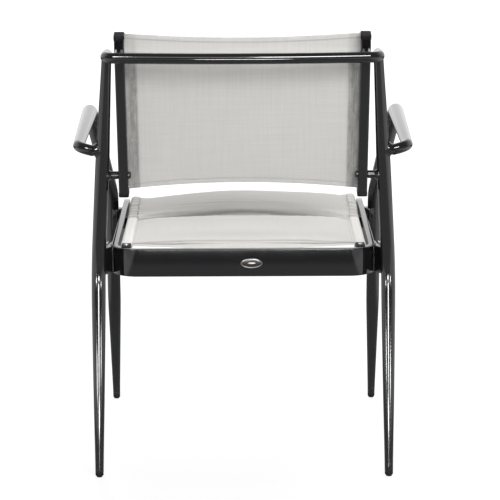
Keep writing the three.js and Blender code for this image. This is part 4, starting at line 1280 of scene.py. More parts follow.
@dataclass
class Fasteners(Assembly):
    """Bolts, screws, spacers with their bosses, stand-offs and end blocks."""

    back: BackPlane = field(default_factory=BackPlane)
    bolt_head: Pair = (6.5, 3.8)  # radius and height
    bolt_shank: float = 36.0
    washer_radius: float = 7.0
    washer_thick: float = 1.1
    seat_bolt_head: Pair = (6.0, 3.9)
    screw_head: Pair = (4.0, 2.2)
    spacer_radius: float = 7.25
    standoff_radius: float = 7.0
    block_front: float = 104.0
    boss: Pairs = ((0.2, 7.0), (0.9, 7.6), (2.4, 8.0), (4.0, 8.8), (6.0, 10.4), (9.0, 10.4))

    def _socket_head(self, face: np.ndarray, axis: np.ndarray, head: Pair, shank: float) -> Shape:
        """A button head with a hexagon socket, and its shank behind it.

        Args:
            face: The point under the head.
            axis: The direction in which the head stands.
            head: The head's radius and height.
            shank: How far its shank reaches behind the face.

        Returns:
            The bolt.
        """
        radius, height = head
        rim = ((0.0, 1.0), (0.3, 1.0), (0.62, 0.93), (0.85, 0.78), (1.0, 0.6), (1.0, 0.46), (0.35, 0.44))
        outline = [(-shank, radius * 0.45), (0.0, radius * 0.45)]
        outline += [(height * rise, radius * wide) for rise, wide in rim] + [(height * 0.3, 0.02)]
        return lathe(face, axis, outline, 48, hexagon=(7, 8))

    def _bolts(self, node: str, axis: np.ndarray, head: Pair, proud: float) -> None:
        """Makes a steel bolt or screw of both sides.

        Args:
            node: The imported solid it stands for, without its side.
            axis: The direction in which its head stands.
            head: The head's radius and height.
            proud: How far the solid's end stands out from the face under the head.
        """
        low, high = solid_box(f"{node}_left")
        along = int(np.argmax(np.abs(axis)))
        face = (low + high) / 2
        face[along] = (high if axis[along] > 0 else low)[along] - axis[along] * proud
        body = self._socket_head(face, axis, head, high[along] - low[along] - proud)
        self.pair(body, f"{node}_head", self.finishes.steel, node)

    def build(self) -> None:
        """Makes the fasteners."""
        paint, nylon = self.finishes.paint, self.finishes.nylon
        head = solid_middle("lower_bolt_left")
        head[0] = solid_box("back_stile_left")[0][0]
        edge, thick = self.washer_radius, self.washer_thick
        washer = [(0, edge - 0.2), (0.2, edge), (thick - 0.2, edge), (thick, edge - 0.25)]
        bolt = lathe(head, -ALONG_X, washer, 48)
        bolt += self._socket_head(head - thick * ALONG_X, -ALONG_X, self.bolt_head, self.bolt_shank)
        self.pair(bolt, "lower_bolt_head", paint, "lower_bolt")
        low, high = solid_box("lower_spacer_left")
        reach, wide = high[0] - low[0], self.spacer_radius
        outline = [(0, wide - 0.75), (0.7, wide), (reach - 0.7, wide), (reach, wide - 0.55)]
        spacer = lathe(point(low[0], *head[1:]), ALONG_X, outline)
        self.pair(spacer, "spacer_tube", paint, "lower_spacer")
        boss = lathe(point(high[0], *head[1:]), ALONG_X, self.boss)
        self.pair(boss, "upright_boss", paint)
        self._bolts("rear_seat_bolt", -ALONG_X, self.seat_bolt_head, 4.0)
        self._bolts("front_seat_bolt", -ALONG_X, self.seat_bolt_head, 4.0)
        self._bolts("rear_block_screw", ALONG_Z, self.screw_head, 2.2)
        self._bolts("front_block_screw", -ALONG_X, self.screw_head, 2.2)
        low, high = solid_box("rear_end_block_left")
        block = rounded_box(point(low[0], self.block_front, low[2]), high, 2.0)
        self.pair(block, "rear_block", nylon, "rear_end_block")
        low, high = solid_box("front_end_block_left")
        block = rounded_box(low, high - 9 * ALONG_Z, 1.4)
        self.pair(block, "front_block", nylon, "front_end_block")
        self._standoffs()

    def _standoffs(self) -> None:
        """Makes the upper stand-offs between stile and top rail."""
        back = self.back
        start = back.at(back.stile_x, back.depth / 2 + 0.3, back.standoff_t)
        reach, wide = back.standoff_n - back.depth / 2, self.standoff_radius
        outline = [(0, wide - 0.7), (0.7, wide), (reach - 4, wide), (reach, wide)]
        tube = lathe(start, back.rear, outline)
        self.pair(tube, "standoff_tube", self.finishes.paint, "upper_standoff")
        self.repaint("upper_bolt", self.finishes.steel)


@dataclass
class BackRest(Assembly):
    """Stiles with their caps, and the woven sling between them."""

    back: BackPlane = field(default_factory=BackPlane)
    cap_height: float = 8.0
    channel_depth: float = 6.0
    mouth: float = 3.4
    corner: float = 3.0
    sling_foot: float = 534.5
    sling_head: float = 824.5
    head_sag: float = 8.4
    foot_rise: float = 12.0
    belly: float = 3.0
    cloth_thick: float = 1.1
    hem: float = 8.5
    hem_thick: float = 0.55
    tuck: float = 0.45
    ripple: float = 0.55
    band: float = 22.5
    thread_lift: float = 0.12
    turned_in: float = 22.0
    bow_allowance: float = 12.0

    def _stile_section(self) -> np.ndarray:
        """The extrusion's section with its keyhole channel, x towards the chair's middle."""
        back = self.back
        outside = bar_profile(back.stile_width, back.depth, self.corner)(1, 0)
        half_width, radius = back.stile_width / 2, back.channel_radius
        lip = math.asin(self.mouth / 2 / radius)
        angle = np.linspace(-lip, lip - 2 * math.pi, 15)
        middle = (half_width - self.channel_depth, back.channel_n)
        channel = middle + radius * np.stack((np.cos(angle), np.sin(angle)), axis=1)
        upper, lower = ((half_width, back.channel_n + edge * self.mouth / 2) for edge in (1, -1))
        return np.vstack(([upper], outside, [lower], channel))

    def _stile(self) -> Shape:
        """The left extrusion."""
        section = self._stile_section()
        low, high = self.back.foot_t + self.cap_height + 0.2, self.back.head_t - self.cap_height - 0.2
        rings = [
            self.back.at(self.back.stile_x - section[:, 0], section[:, 1], np.full(len(section), t))
            for t in np.linspace(low, high, 2)
        ]
        return skin(np.array(rings))

    def _cap(self, low: float, high: float) -> Shape:
        """A moulded cap on the left stile, between two places along it."""
        profile = bar_profile(self.back.stile_width + 0.8, self.back.depth + 0.8, self.corner + 0.3)
        line = Line(self.back.at(self.back.stile_x, 0.0, np.array([low, high])), np.ones(2))
        return sweep(line, profile, ALONG_X, rounding=0.9)

    def _edges(self, x: np.ndarray) -> tuple[np.ndarray, np.ndarray]:
        """How far up the plane the sling's lower and upper edge are."""
        middle = 1 - np.minimum(1, np.abs(x) / (self.back.stile_in - 0.3)) ** 2
        low = self.back.t_at(self.sling_foot) + self.foot_rise * middle
        return low, self.back.t_at(self.sling_head) - self.head_sag * middle

    def _tuck(self, from_edge: np.ndarray) -> np.ndarray:
        """How deep the hem's stitches pull the cloth in, at distances from its edge."""
        return self.tuck * bell(from_edge - self.hem, 1.1)

    def _sling_point(self, x: np.ndarray, t: np.ndarray, rear: float, extra: float = 0.0) -> np.ndarray:
        """Points on the sling, on its rear (1) or front (-1) face, or off it by something extra."""
        low, high = self._edges(x)
        up = np.clip((t - low) / (high - low), 0, 1)
        middle = 1 - np.minimum(1, np.abs(x) / self.back.stile_in) ** 2
        bowed = self.belly * middle * np.sin(math.pi * up)
        from_side = self.back.stile_in - np.abs(x)
        wave = np.sin(t / 7.1 + 1.9 * np.sin(t / 31) + np.sign(x)) + 0.5 * np.sin(t / 3.3 + 2)
        ripple = self.ripple * wave * np.exp(-np.maximum(0, from_side) / 14) * smooth(from_side, 0, 5)
        from_edge = np.minimum(t - low, high - t)
        hem = smooth(-from_edge, -self.hem - 0.5, -self.hem + 0.8) * self.hem_thick
        tuck = self._tuck(from_edge)
        rounded = 1 - 0.75 * smooth(-from_edge, -1.0, 0.0)
        half = (self.cloth_thick / 2 + hem - tuck * 0.6) * rounded
        return self.back.at(x, self.back.channel_n + bowed + ripple + rear * (half + extra), t)

    def _sling(self) -> tuple[Shape, np.ndarray]:
        """The sling as a closed sheet, and the flat place of each point."""
        reach = self.back.stile_in + 2.4
        xs = np.linspace(-reach, reach, 190)
        margin = 0.05
        hem = np.linspace(0, margin, 22)[:-1]
        shares = np.concatenate((hem, np.linspace(margin, 1 - margin, 120), 1 - hem[::-1]))
        low, high = self._edges(xs)
        t = low[None, :] + shares[:, None] * (high - low)[None, :]
        x = np.broadcast_to(xs, t.shape)
        faces: list[tuple[int, ...]] = []
        rows, columns = t.shape
        size = rows * columns
        rear, front = self._sling_point(x, t, 1.0), self._sling_point(x, t, -1.0)
        for i in range(rows - 1):
            for k in range(columns - 1):
                a = i * columns + k
                faces.append((a, a + 1, a + columns + 1, a + columns))
                faces.append((size + a, size + a + columns, size + a + columns + 1, size + a + 1))
        border = list(range(columns))
        border += [i * columns + columns - 1 for i in range(1, rows)]
        border += [(rows - 1) * columns + k for k in range(columns - 2, -1, -1)]
        border += [i * columns for i in range(rows - 2, 0, -1)]
        for i, here in enumerate(border):
            following = border[(i + 1) % len(border)]
            faces.append((here, size + here, size + following, following))
        flat = np.stack((x, t, np.zeros_like(t)), axis=-1).reshape(-1, 3)
        points = np.concatenate((rear.reshape(-1, 3), front.reshape(-1, 3)))
        return Shape(points, faces), np.vstack((flat, flat)) * MM

    def build(self) -> None:
        """Makes the back."""
        paint, nylon = self.finishes.paint, self.finishes.nylon
        self.pair(self._stile(), "stile_extrusion", paint, "back_stile", sharp=30)
        back, tall = self.back, self.cap_height
        for end, low in (("top", back.head_t - tall), ("foot", back.foot_t)):
            cap = self._cap(low, low + tall)
            self.pair(cap, f"stile_{end}_plug", nylon, f"stile_{end}_cap")
        shape, flat = self._sling()
        sling = shape.piece("back_sling_cloth", sharp=70)
        low, high = self._edges(flat[:, 0] / MM)
        from_edge = np.minimum(flat[:, 1] / MM - low, high - flat[:, 1] / MM)
        # The hems' tuck is also painted as shade along their stitch lines.
        store_flat(sling, flat, self._tuck(from_edge))
        self.keep(sling, self.finishes.back, ["back_sling"])
        threads = self._stitch_rows().piece("back_sling_stitches", sharp=60)
        self.keep(threads, self.finishes.back_thread, parent=sling)
        width = 2 * (back.stile_in + self.turned_in)
        width * MM
        self.repaint("spline_rod", self.finishes.rod)

    def _stitch_rows(self) -> Shape:
        """Stitches of the hems and of the side bands, on both faces."""
        reach = self.back.stile_in - 2
        xs = np.linspace(-reach, reach, 160)
        low, high = self._edges(xs)
        paths = [(xs, high - self.hem), (xs, low + self.hem)]
        for side in (1, -1):
            x = side * (self.back.stile_in - self.band)
            (foot,), (head,) = self._edges(np.array([x]))
            t = np.linspace(foot + 2, head - 2, 200)
            paths.append((np.full_like(t, x), t))
        made = Shape(np.zeros((0, 3)), [])
        for rear in (1.0, -1.0):
            for x, t in paths:
                made += stitches(self._sling_point(x, t, rear, self.thread_lift))
        return made


def store_flat(piece: bpy.types.Object, flat: np.ndarray, shade: np.ndarray) -> None:
    """Keeps each point's place on the flat cloth, in metres, and the painted shade in its creases and folds,
    from 0 to 1.
    """
    attribute = piece.data.attributes.new("cloth", "FLOAT_VECTOR", "POINT")
    attribute.data.foreach_set("vector", flat.astype(np.float32).ravel())
    attribute = piece.data.attributes.new("shade", "FLOAT", "POINT")
    attribute.data.foreach_set("value", np.clip(shade, 0, 1).astype(np.float32).ravel())


@dataclass
class SeatSling(Assembly):
    """The padded seat: its panel with the front roll, and the gathered sleeves on the side rails."""

    half: float = 210.5
    rail_level: float = 407.8
    rail_x: float = 216.5
    hem_y: float = 136.0
    side_hem_y: float = 100.0
    sleeve_rear: float = 103.4
    kink_y: float = -175.0
    kink_bend: float = 150.0
    nose_y: float = -296.0
    nose_rise: float = 9.2
    nose_bend: float = 26.0
    front_end: float = 379.94
    seam_y: float = -140.0
    seam_bow: float = 24.0
    gather_y: float = -132.0
    sleeve_width: float = 17.4
    sleeve_height: float = 17.4
    sleeve_corner: float = 5.7
    sleeve_out: float = 3.2
    sleeve_corner_steps: int = 8
    lining_size: float = 14.8
    lining_corner: float = 4.3
    swell: float = 4.4
    lifts: Pair = (0.0, 4.5)  # of the left and the right sleeve
    slim: float = 3.2
    voxel: float = 4.0
    pressure: float = 4.0
    frames: int = 20
    plump: float = 5.0
    seam_depth: float = 3.4
    row_depths: Pair = (2.0, 1.2)
    gather_depth: float = 1.0
    stitch_lift: float = 0.12
    edge_stitches: float = 6.0

    def __post_init__(self) -> None:
        """Draws the line of the seat, seen from the side."""
        self.line = self._side_line(0, self.hem_y, self.front_end, step=2, spacing=3)
        self.length = float(self.line.way[-1])
        self.seam = (self.hem_y - self.seam_y) / self.length

    def _side_line(self, x: float, rear: float, end: float, step: float, spacing: float) -> Line:
        """A line from the rear over the kink and round the nose, and down to a height."""
        corners = [
            Corner(point(x, rear, self.rail_level)),
            Corner(point(x, self.kink_y, self.rail_level), bend=self.kink_bend),
            Corner(point(x, self.nose_y, self.rail_level + self.nose_rise), bend=self.nose_bend),
            Corner(point(x, self.nose_y, end)),
        ]
        return Line.through(corners, step=step, spacing=spacing)

    @staticmethod
    def _table(share: np.ndarray, rows: Pairs) -> np.ndarray:
        """Values of a table of share and value, smooth between its rows."""
        made = np.full_like(share, rows[0][1])
        for (s0, v0), (s1, v1) in zip(rows, rows[1:]):
            made = np.where(share > s0, v0 + (v1 - v0) * smooth(share, s0, s1), made)
        return made

    def _edge_in(self, x: np.ndarray) -> np.ndarray:
        """How far the rear edge lies inside its middle, at shares of the half width."""
        return (self.hem_y - self.side_hem_y) * (1 - np.clip(1 - np.abs(x) ** 1.5, 0, 1) ** 1.5)

    def _seam_bowed(self, x: np.ndarray) -> np.ndarray:
        """How far the seam runs behind its middle; it stays flatter on the right."""
        return self.seam_bow * np.where(x > 0, np.abs(x) ** 2.6, np.abs(x) ** 5)

    def _pad_point(self, x: np.ndarray, share: np.ndarray, upper: bool, slim: float) -> np.ndarray:
        """Points of the panel.

        Args:
            x: Shares of its half width, from -1 to 1.
            share: Shares of its length from the rear hem.
            upper: Whether they are on its upper face.
            slim: How far the faces stay inside the finished panel.

        Returns:
            The points.
        """
        bowed = self._edge_in(x) / self.length
        near = np.maximum(0, 1 - np.abs(share - self.seam) / 0.2)
        shifted = np.clip(share - self._seam_bowed(x) / self.length * near, 0, 1)
        way = (bowed + (1 - 6 / self.length - bowed) * shifted) * self.length
        seam = self.seam
        lean = smooth(-x, -0.3, 0.9)
        roll = ((1 + np.cos(math.pi * x)) / 2) ** (0.62 - 0.3 * lean)
        fullness = lerp(1 - np.abs(x) ** 1.8, roll, smooth(share, seam, seam + 0.04))
        arch = np.sqrt(np.clip(1 - (1 - (share - seam) / (0.83 - seam)) ** 2, 0, 1))
        if upper:
            hem, crown, edge = 5, 9, 7.2  # heights at the hem, and at the seam in the middle and at the side
            middle = ((0, hem), (0.012, hem), (0.045, 9.5), (0.075, 11), (0.2, 12), (0.5, 12), (seam, crown))
            side = ((0, hem), (0.04, hem), (0.08, edge), (seam, edge))
            beyond = share > seam
            fall = smooth(share, 0.84, 1.02)
            rolled = lerp(crown + 27 * arch, 6, fall)
            rolled_side = lerp(edge + (8.8 + 5 * lean) * arch, 5, fall)
            table_middle = np.where(beyond, rolled, self._table(share, middle))
            table_side = np.where(beyond, rolled_side, self._table(share, side))
            shrink = -slim
        else:
            hem, under_middle, under_side = 3.2, -3, -1.2
            table_middle, table_side = (
                self._table(share, ((0, hem), (0.05, hem), (0.1, under), (1, under)))
                for under in (under_middle, under_side)
            )
            shrink = slim
        puffed = smooth(share, 0.05, 0.11) * smooth(1 - np.abs(x), 0, 0.06)
        height = lerp(table_side, table_middle, fullness) + shrink * puffed
        line_way, direction = self.line.way, self.line.frames(ALONG_X)[0]
        y, z = (np.interp(way, line_way, self.line.at[:, k]) for k in (1, 2))
        dy, dz = (np.interp(way, line_way, direction[:, k]) for k in (1, 2))
        return np.stack((self.half * x, y + dz * height, z - dy * height), axis=-1)

    def _raw_pad(self) -> Shape:
        """The panel before it is plumped up."""
        x, share = np.meshgrid(np.linspace(-1, 1, 96), np.linspace(0, 1, 120))
        top = self._pad_point(x, share, True, self.slim)
        bottom = self._pad_point(x, share, False, self.slim * 0.4)
        return skin(np.concatenate((top, bottom[:, ::-1]), axis=1))

    def _plumped(self, shape: Shape) -> bpy.types.Object:
        """The panel remeshed, blown up as its filling does, and held where it is sewn."""
        pad = shape.piece("seat_pad", sharp=80)
        bpy.context.view_layer.objects.active = pad
        remesh = pad.modifiers.new("remesh", "REMESH")
        remesh.mode, remesh.voxel_size = "VOXEL", self.voxel * MM
        apply_modifiers(pad)
        self._fill(pad)
        fine = pad.modifiers.new("fine", "SUBSURF")
        fine.levels = fine.render_levels = 1
        apply_modifiers(pad)
        return pad

    def _fill(self, pad: bpy.types.Object) -> None:
        """Blows the panel up by a cloth simulation with pressure inside, no point further than plump."""
        start = vertex_places(pad)
        flat = self._flat_of(start / MM - DATUM)
        loose = np.minimum(
            smooth(self.half * MM - np.abs(start[:, 0]), 0.0, 0.012),
            np.minimum(smooth(flat[:, 1], 0.03, 0.05), smooth(self.length * MM - flat[:, 1], 0.004, 0.02)),
        )
        held = pad.vertex_groups.new(name="sewn")
        for i, share in enumerate(loose):
            held.add([i], float(1 - share), "REPLACE")
        settings = pad.modifiers.new("filling", "CLOTH").settings
        settings.use_pressure = True
        settings.uniform_pressure_force = self.pressure
        settings.effector_weights.gravity = 0
        settings.vertex_group_mass = held.name
        settings.quality = 6
        for number in range(self.frames):
            bpy.context.scene.frame_set(number + 1)
        apply_modifiers(pad)
        bpy.context.scene.frame_set(1)
        step = vertex_places(pad) - start
        far = np.linalg.norm(step, axis=1)
        limit = self.plump * MM
        keep = np.where(far > limit, limit / np.maximum(far, 1e-9), 1.0)[:, None]
        set_places(pad, start + step * keep)

    def _flat_of(self, points: np.ndarray) -> np.ndarray:
        """Each point's place on the flat cloth, in metres."""
        samples, batch = self.line.at[:, 1:], 4000
        nearest = np.zeros(len(points), int)
        for first in range(0, len(points), batch):
            part = points[first : first + batch, None, 1:]
            nearest[first : first + batch] = np.argmin(((part - samples[None]) ** 2).sum(axis=2), axis=1)
        along = self.line.way[nearest]
        direction, _, _ = self.line.frames(ALONG_X)
        along = along + ((points[:, 1:] - samples[nearest]) * direction[nearest][:, 1:]).sum(axis=1)
        return np.stack((points[:, 0], along, np.zeros(len(points))), axis=1) * MM

    def _hem_rows(self, x: np.ndarray) -> tuple[np.ndarray, np.ndarray]:
        """How far inside the rear edge its two rows of stitches run, at shares of the half width."""
        edge = self.hem_y - self._edge_in(x)
        return edge - 84 - 18 * (1 - x * x), edge - 81 - 5 * (1 - x * x)

    def _sew(self, pad: bpy.types.Object) -> None:
        """Draws the seam, the hem and the puckers into the plumped panel, and paints shade into its creases
        and over the roll's slope.
        """
        places = vertex_places(pad)
        flat = self._flat_of(places / MM - DATUM)
        normals = np.array([vertex.normal for vertex in pad.data.vertices])
        across, along = flat[:, 0] / MM, flat[:, 1] / MM
        x = np.clip(across / self.half, -1, 1)
        upper = smooth(normals[:, 2] - 0.6 * normals[:, 1] * (along / self.length > 0.9), 0.1, 0.5)

        from_seam = along - (self.seam * self.length - self._seam_bowed(x))
        sunk = 1.2 * np.exp(-np.maximum(0, -from_seam) / 9) * (from_seam < 0)
        seam = -self.seam_depth * bell(from_seam, 2.4) - sunk
        pucker = np.sin(flat[:, 0] * 230 + 1.3 * np.sin(flat[:, 0] * 47)) * bell(from_seam, 10)

        from_hem = along - self._edge_in(x)
        first, second = (from_hem - row for row in self._hem_rows(x))
        hem = 0.5 * np.sin(x * 9 + 1) * bell(second - 12, 12)
        hem -= self.row_depths[0] * bell(first, 2.2) + self.row_depths[1] * bell(second, 2.6)

        side = self.half - np.abs(across)
        roll = smooth(from_seam, -4, 10)
        gather = np.sin(along / 3.1 + 1.7 * np.sin(along / 9.5) + side / 6 + np.sign(x) * 0.8)
        ripple = 0.3 * np.sin(along / 4.4 + np.sin(along / 13)) * np.exp(-side / 9) * (1 - roll)
        gathers = self.gather_depth * gather * np.exp(-side / 8) * roll
        relief = seam + 0.3 * pucker + hem * (1 - x**8) + gathers + ripple
        set_places(pad, places + normals * (relief * upper)[:, None] * MM)

        # Painted shade: along the seam, over the roll's slope above it, in a broad band across the panel,
        # along both hem rows and in the gathers' valleys.
        shade = 0.3 * bell(from_seam, 2.6)
        shade += 0.42 * smooth(from_seam, -1, 2) * np.exp(-np.maximum(from_seam, 0) / 38) * (1 - x**6)
        shade += 0.24 * bell(second - 42, 34) * (1 - x * x)
        shade += 0.85 * bell(first, 3.2) + 0.45 * bell(second, 3.4)
        shade += 0.35 * np.clip(-gather, 0, 1) ** 2 * np.exp(-side / 7) * roll
        store_flat(pad, flat, shade * upper)

    def _sleeve(self, lift: float) -> tuple[Shape, np.ndarray, np.ndarray]:
        """The left sleeve round its rail, with its flat places and its shade.

        Args:
            lift: How much higher its gathers stand beside the roll.

        Returns:
            The sleeve, its places on the flat cloth, and the painted shade in its folds and where its
            gathers begin.
        """
        line = self._side_line(self.rail_x, self.sleeve_rear, self.front_end + 0.3, step=2.5, spacing=1.3)
        _, side, up = line.frames(ALONG_X)
        way, steps = line.way, self.sleeve_corner_steps
        section = bar_profile(self.sleeve_width, self.sleeve_height, self.sleeve_corner, steps)(1, 0)
        lining = bar_profile(self.lining_size, self.lining_size, self.lining_corner, steps)(1, 0)
        around = way_along(section)
        outward = unit_rows(section)
        top = np.clip(section[:, 1] / (self.sleeve_height / 2), 0, 1)
        outwards = float(np.sign(side[0][0]))
        half_lining = self.lining_size / 2
        outer, inner, flats, shades = [], [], [], []
        for i in range(len(way)):
            ahead = self.gather_y - line.at[i, 1]
            gathered = float(smooth(ahead, -1.5, 1.5))
            past_nose = float(smooth(way[i], way[-1] - 34, way[-1]))
            swell = 0.9 * gathered + (self.swell + lift) * float(smooth(ahead, 0, 90))
            swell *= 1 - 0.5 * past_nose
            skew = way[i] + outward[:, 0] * 2.6 + 1.5 * np.sin(way[i] / 11)
            crumple, valley = self._crumple(skew, gathered)
            crumple = crumple * np.clip(top + 0.35, 0, 1)
            # Painted shade in the valleys of the gathered folds, and a band of it where the gathers begin.
            step = 0.6 * bell(ahead + 1.0, 2.4)
            shades.append(np.clip(valley, 0, 1) * gathered * (0.5 + 0.25 * math.sin(way[i] / 7)) + step)
            for wall, shape, share in ((outer, section, 1.0), (inner, lining, 0.75)):
                shifted = shape + outward * (crumple * share)[:, None]
                shifted[:, 1] += swell * share * top**1.5
                out = np.clip(shape[:, 0] * outwards / half_lining, 0, 1)
                shifted[:, 0] += self.sleeve_out * out * outwards
                shifted[:, 0] *= 1 + 0.06 * gathered * top
                wall.append(line.at[i] + shifted[:, :1] * side[i] + shifted[:, 1:] * up[i])
            flats.append(np.column_stack((self.rail_x + around, np.full_like(around, way[i]), around * 0)))
        rings = np.array(outer)
        wide = np.linalg.norm(rings - np.roll(rings, 1, axis=1), axis=2).sum(axis=1).max()
        long = np.linalg.norm(np.diff(rings, axis=0), axis=2).sum(axis=0).max()
        self.sleeve_cut = (float(wide) * MM, float(long) * MM)
        flat, shade = np.concatenate(flats) * MM, np.concatenate(shades)
        return shell(rings, np.array(inner)), np.vstack((flat, flat)), np.tile(shade, 2)

    @staticmethod
    def _crumple(skew: np.ndarray, gathered: float) -> tuple[np.ndarray, np.ndarray]:
        """How far the sleeve's crumples stand out, and how deep its folds are, from 0 to 1."""
        fold = 0.35 * np.sin(skew / 3.4 + 1.2 * np.sin(skew / 8.3))
        valley = (1 - np.abs(np.sin(skew / 6.3 + 0.5 * np.sin(skew / 15)))) ** 3
        calm = 0.10 * np.sin(skew / 5 + 1.6 * np.sin(skew / 13))
        return calm + gathered * (fold - 1.5 * valley), valley

    def _threads(self, pad: bpy.types.Object) -> Shape:
        """Stitches of the seam, the rear hem and both sides, laid on the panel."""
        tree = BVHTree.FromObject(pad, bpy.context.evaluated_depsgraph_get())
        above = 0.6

        def laid(x: np.ndarray, y: np.ndarray) -> np.ndarray:
            """The points of the panel's upper face over a path."""
            found = []
            for px, py in zip(x, y):
                start = Vector(((px + DATUM[0]) * MM, (py + DATUM[1]) * MM, above))
                hit, _, _, _ = tree.ray_cast(start, Vector((0, 0, -1)))
                if hit is not None:
                    found.append(np.array(hit) / MM - DATUM + self.stitch_lift * ALONG_Z)
            return np.array(found)

        x = np.linspace(-0.95, 0.95, 220)
        bow = self._edge_in(x)
        made = stitches(laid(x * self.half, self.seam_y + self._seam_bowed(x) + 3.2))
        for row in self._hem_rows(x):
            made += stitches(laid(x * self.half, self.hem_y - bow - row))
        for side in (1, -1):
            y = np.linspace(self.side_hem_y - 8, self.gather_y + 4, 160)
            made += stitches(laid(np.full_like(y, side * (self.half - self.edge_stitches)), y))
        return made

    def build(self) -> None:
        """Makes the seat."""
        pad = self._plumped(self._raw_pad())
        self._sew(pad)
        pad.data.shade_smooth()
        self.keep(pad, self.finishes.seat, ["seat_sling"])
        for side, sign, lift in zip(SIDES, (1, -1), self.lifts):
            shape, flat, shade = self._sleeve(lift)
            sleeve = (shape if sign > 0 else shape.mirrored()).piece(f"seat_sleeve_cloth_{side}", sharp=75)
            store_flat(sleeve, flat * (sign, 1, 1), shade)
            self.keep(sleeve, self.finishes.sleeve, [f"seat_sleeve_{side}"])
        threads = self._threads(pad).piece("seat_stitches", sharp=60)
        self.keep(threads, self.finishes.seat_thread, parent=pad)


def vertex_places(piece: bpy.types.Object) -> np.ndarray:
    """The places of a mesh's points, in metres."""
    places = np.zeros(len(piece.data.vertices) * 3)
    piece.data.vertices.foreach_get("co", places)
    return places.reshape(-1, 3)


def set_places(piece: bpy.types.Object, places: np.ndarray) -> None:
    """Moves a mesh's points."""
    piece.data.vertices.foreach_set("co", places.ravel())
    piece.data.update()


def apply_modifiers(piece: bpy.types.Object) -> None:
    """Makes a piece's modifiers part of its mesh."""
    graph = bpy.context.evaluated_depsgraph_get()
    mesh = bpy.data.meshes.new_from_object(piece.evaluated_get(graph))
    old = piece.data
    piece.modifiers.clear()
    piece.data = mesh
    bpy.data.meshes.remove(old)


@dataclass
class Badge(Assembly):
    """A bare oval plate on the rear rail: a metal rim round a dark field with a plain raised lens."""

    width: float = 40.0
    height: float = 18.0
    lens_half_width: float = 8.5
    lens_half_height: float = 1.7
    lens_rise: float = 0.6
    rim: Pairs = ((0.3, 0), (0, 0.3), (0, 1.2), (0.4, 1.9), (1, 2.2), (1.5, 2), (1.8, 1.4), (1.9, 0.9))
    field_steps: Pairs = ((1.6, 0.5), (1.6, 1.25), (2.2, 1.35), (5.0, 1.45), (8.9, 1.5))

    def _rings(self, steps: Pairs) -> Shape:
        """Oval rings, each given by its distance inside the edge and its height over the rail."""
        (_, front, _), _ = solid_box("badge")
        centre = solid_middle("badge")
        angle = angles_round(96)
        rings = []
        for inset, rise in steps:
            x = centre[0] - (self.width / 2 - inset) * np.cos(angle)
            z = centre[2] + (self.height / 2 - inset) * np.sin(angle)
            rings.append(np.stack((x, np.full_like(x, front + rise), z), axis=1))
        return skin(np.array(rings))

    def build(self) -> None:
        """Makes the badge."""
        rim, field_plate = self._rings(self.rim), self._rings(self.field_steps)
        self.keep(rim.piece("badge_rim"), self.finishes.badge_rim, ["badge"])
        self.keep(field_plate.piece("badge_field"), self.finishes.badge_field)
        self.keep(self._lens().piece("badge_lens"), self.finishes.badge_rim)

    def _lens(self) -> Shape:
        """The raised lens on the field, pointed at both ends."""
        front = solid_box("badge")[0][1] + 1.35
        centre = solid_middle("badge")
        angle = np.linspace(0, math.pi, 13)
        rings = []
        for share in np.linspace(-1, 1, 41):
            full = 1 - share**2
            y = front + max(self.lens_rise * full, 0.02) * np.sin(angle)
            z = centre[2] + max(self.lens_half_height * full, 0.05) * np.cos(angle)
            rings.append(np.stack((np.full_like(y, centre[0] + share * self.lens_half_width), y, z), axis=1))
        return skin(np.array(rings))


# Studio


UPRIGHTS = ("upright_tube_left", "upright_tube_right")


@dataclass(frozen=True)
class Lamp:
    """A rectangular lamp aimed at the chair, for matt surfaces or for gloss, of all pieces or of some."""

    name: str
    place: tuple[float, float, float]
    size: Pair
    radiance: float
    for_gloss: bool = True
    only: tuple[str, ...] = ()

    def build(self, aim: Vector) -> None:
        """Hangs the lamp and turns it to a point."""
        data = bpy.data.lights.new(self.name, "AREA")
        data.shape = "RECTANGLE"
        data.size, data.size_y = self.size
        data.energy = self.radiance * math.pi * self.size[0] * self.size[1]
        lamp = bpy.data.objects.new(self.name, data)
        lamp.location = self.place
        lamp.rotation_euler = (aim - Vector(self.place)).to_track_quat("-Z", "Y").to_euler()
        lamp.visible_glossy, lamp.visible_diffuse = self.for_gloss, not self.for_gloss
        lamp.visible_camera = False
        if self.only:
            lit = bpy.data.collections.new(f"{self.name}_lit")
            for name in self.only:
                lit.objects.link(bpy.data.objects[name])
            lamp.light_linking.receiver_collection = lit
        bpy.context.scene.collection.objects.link(lamp)


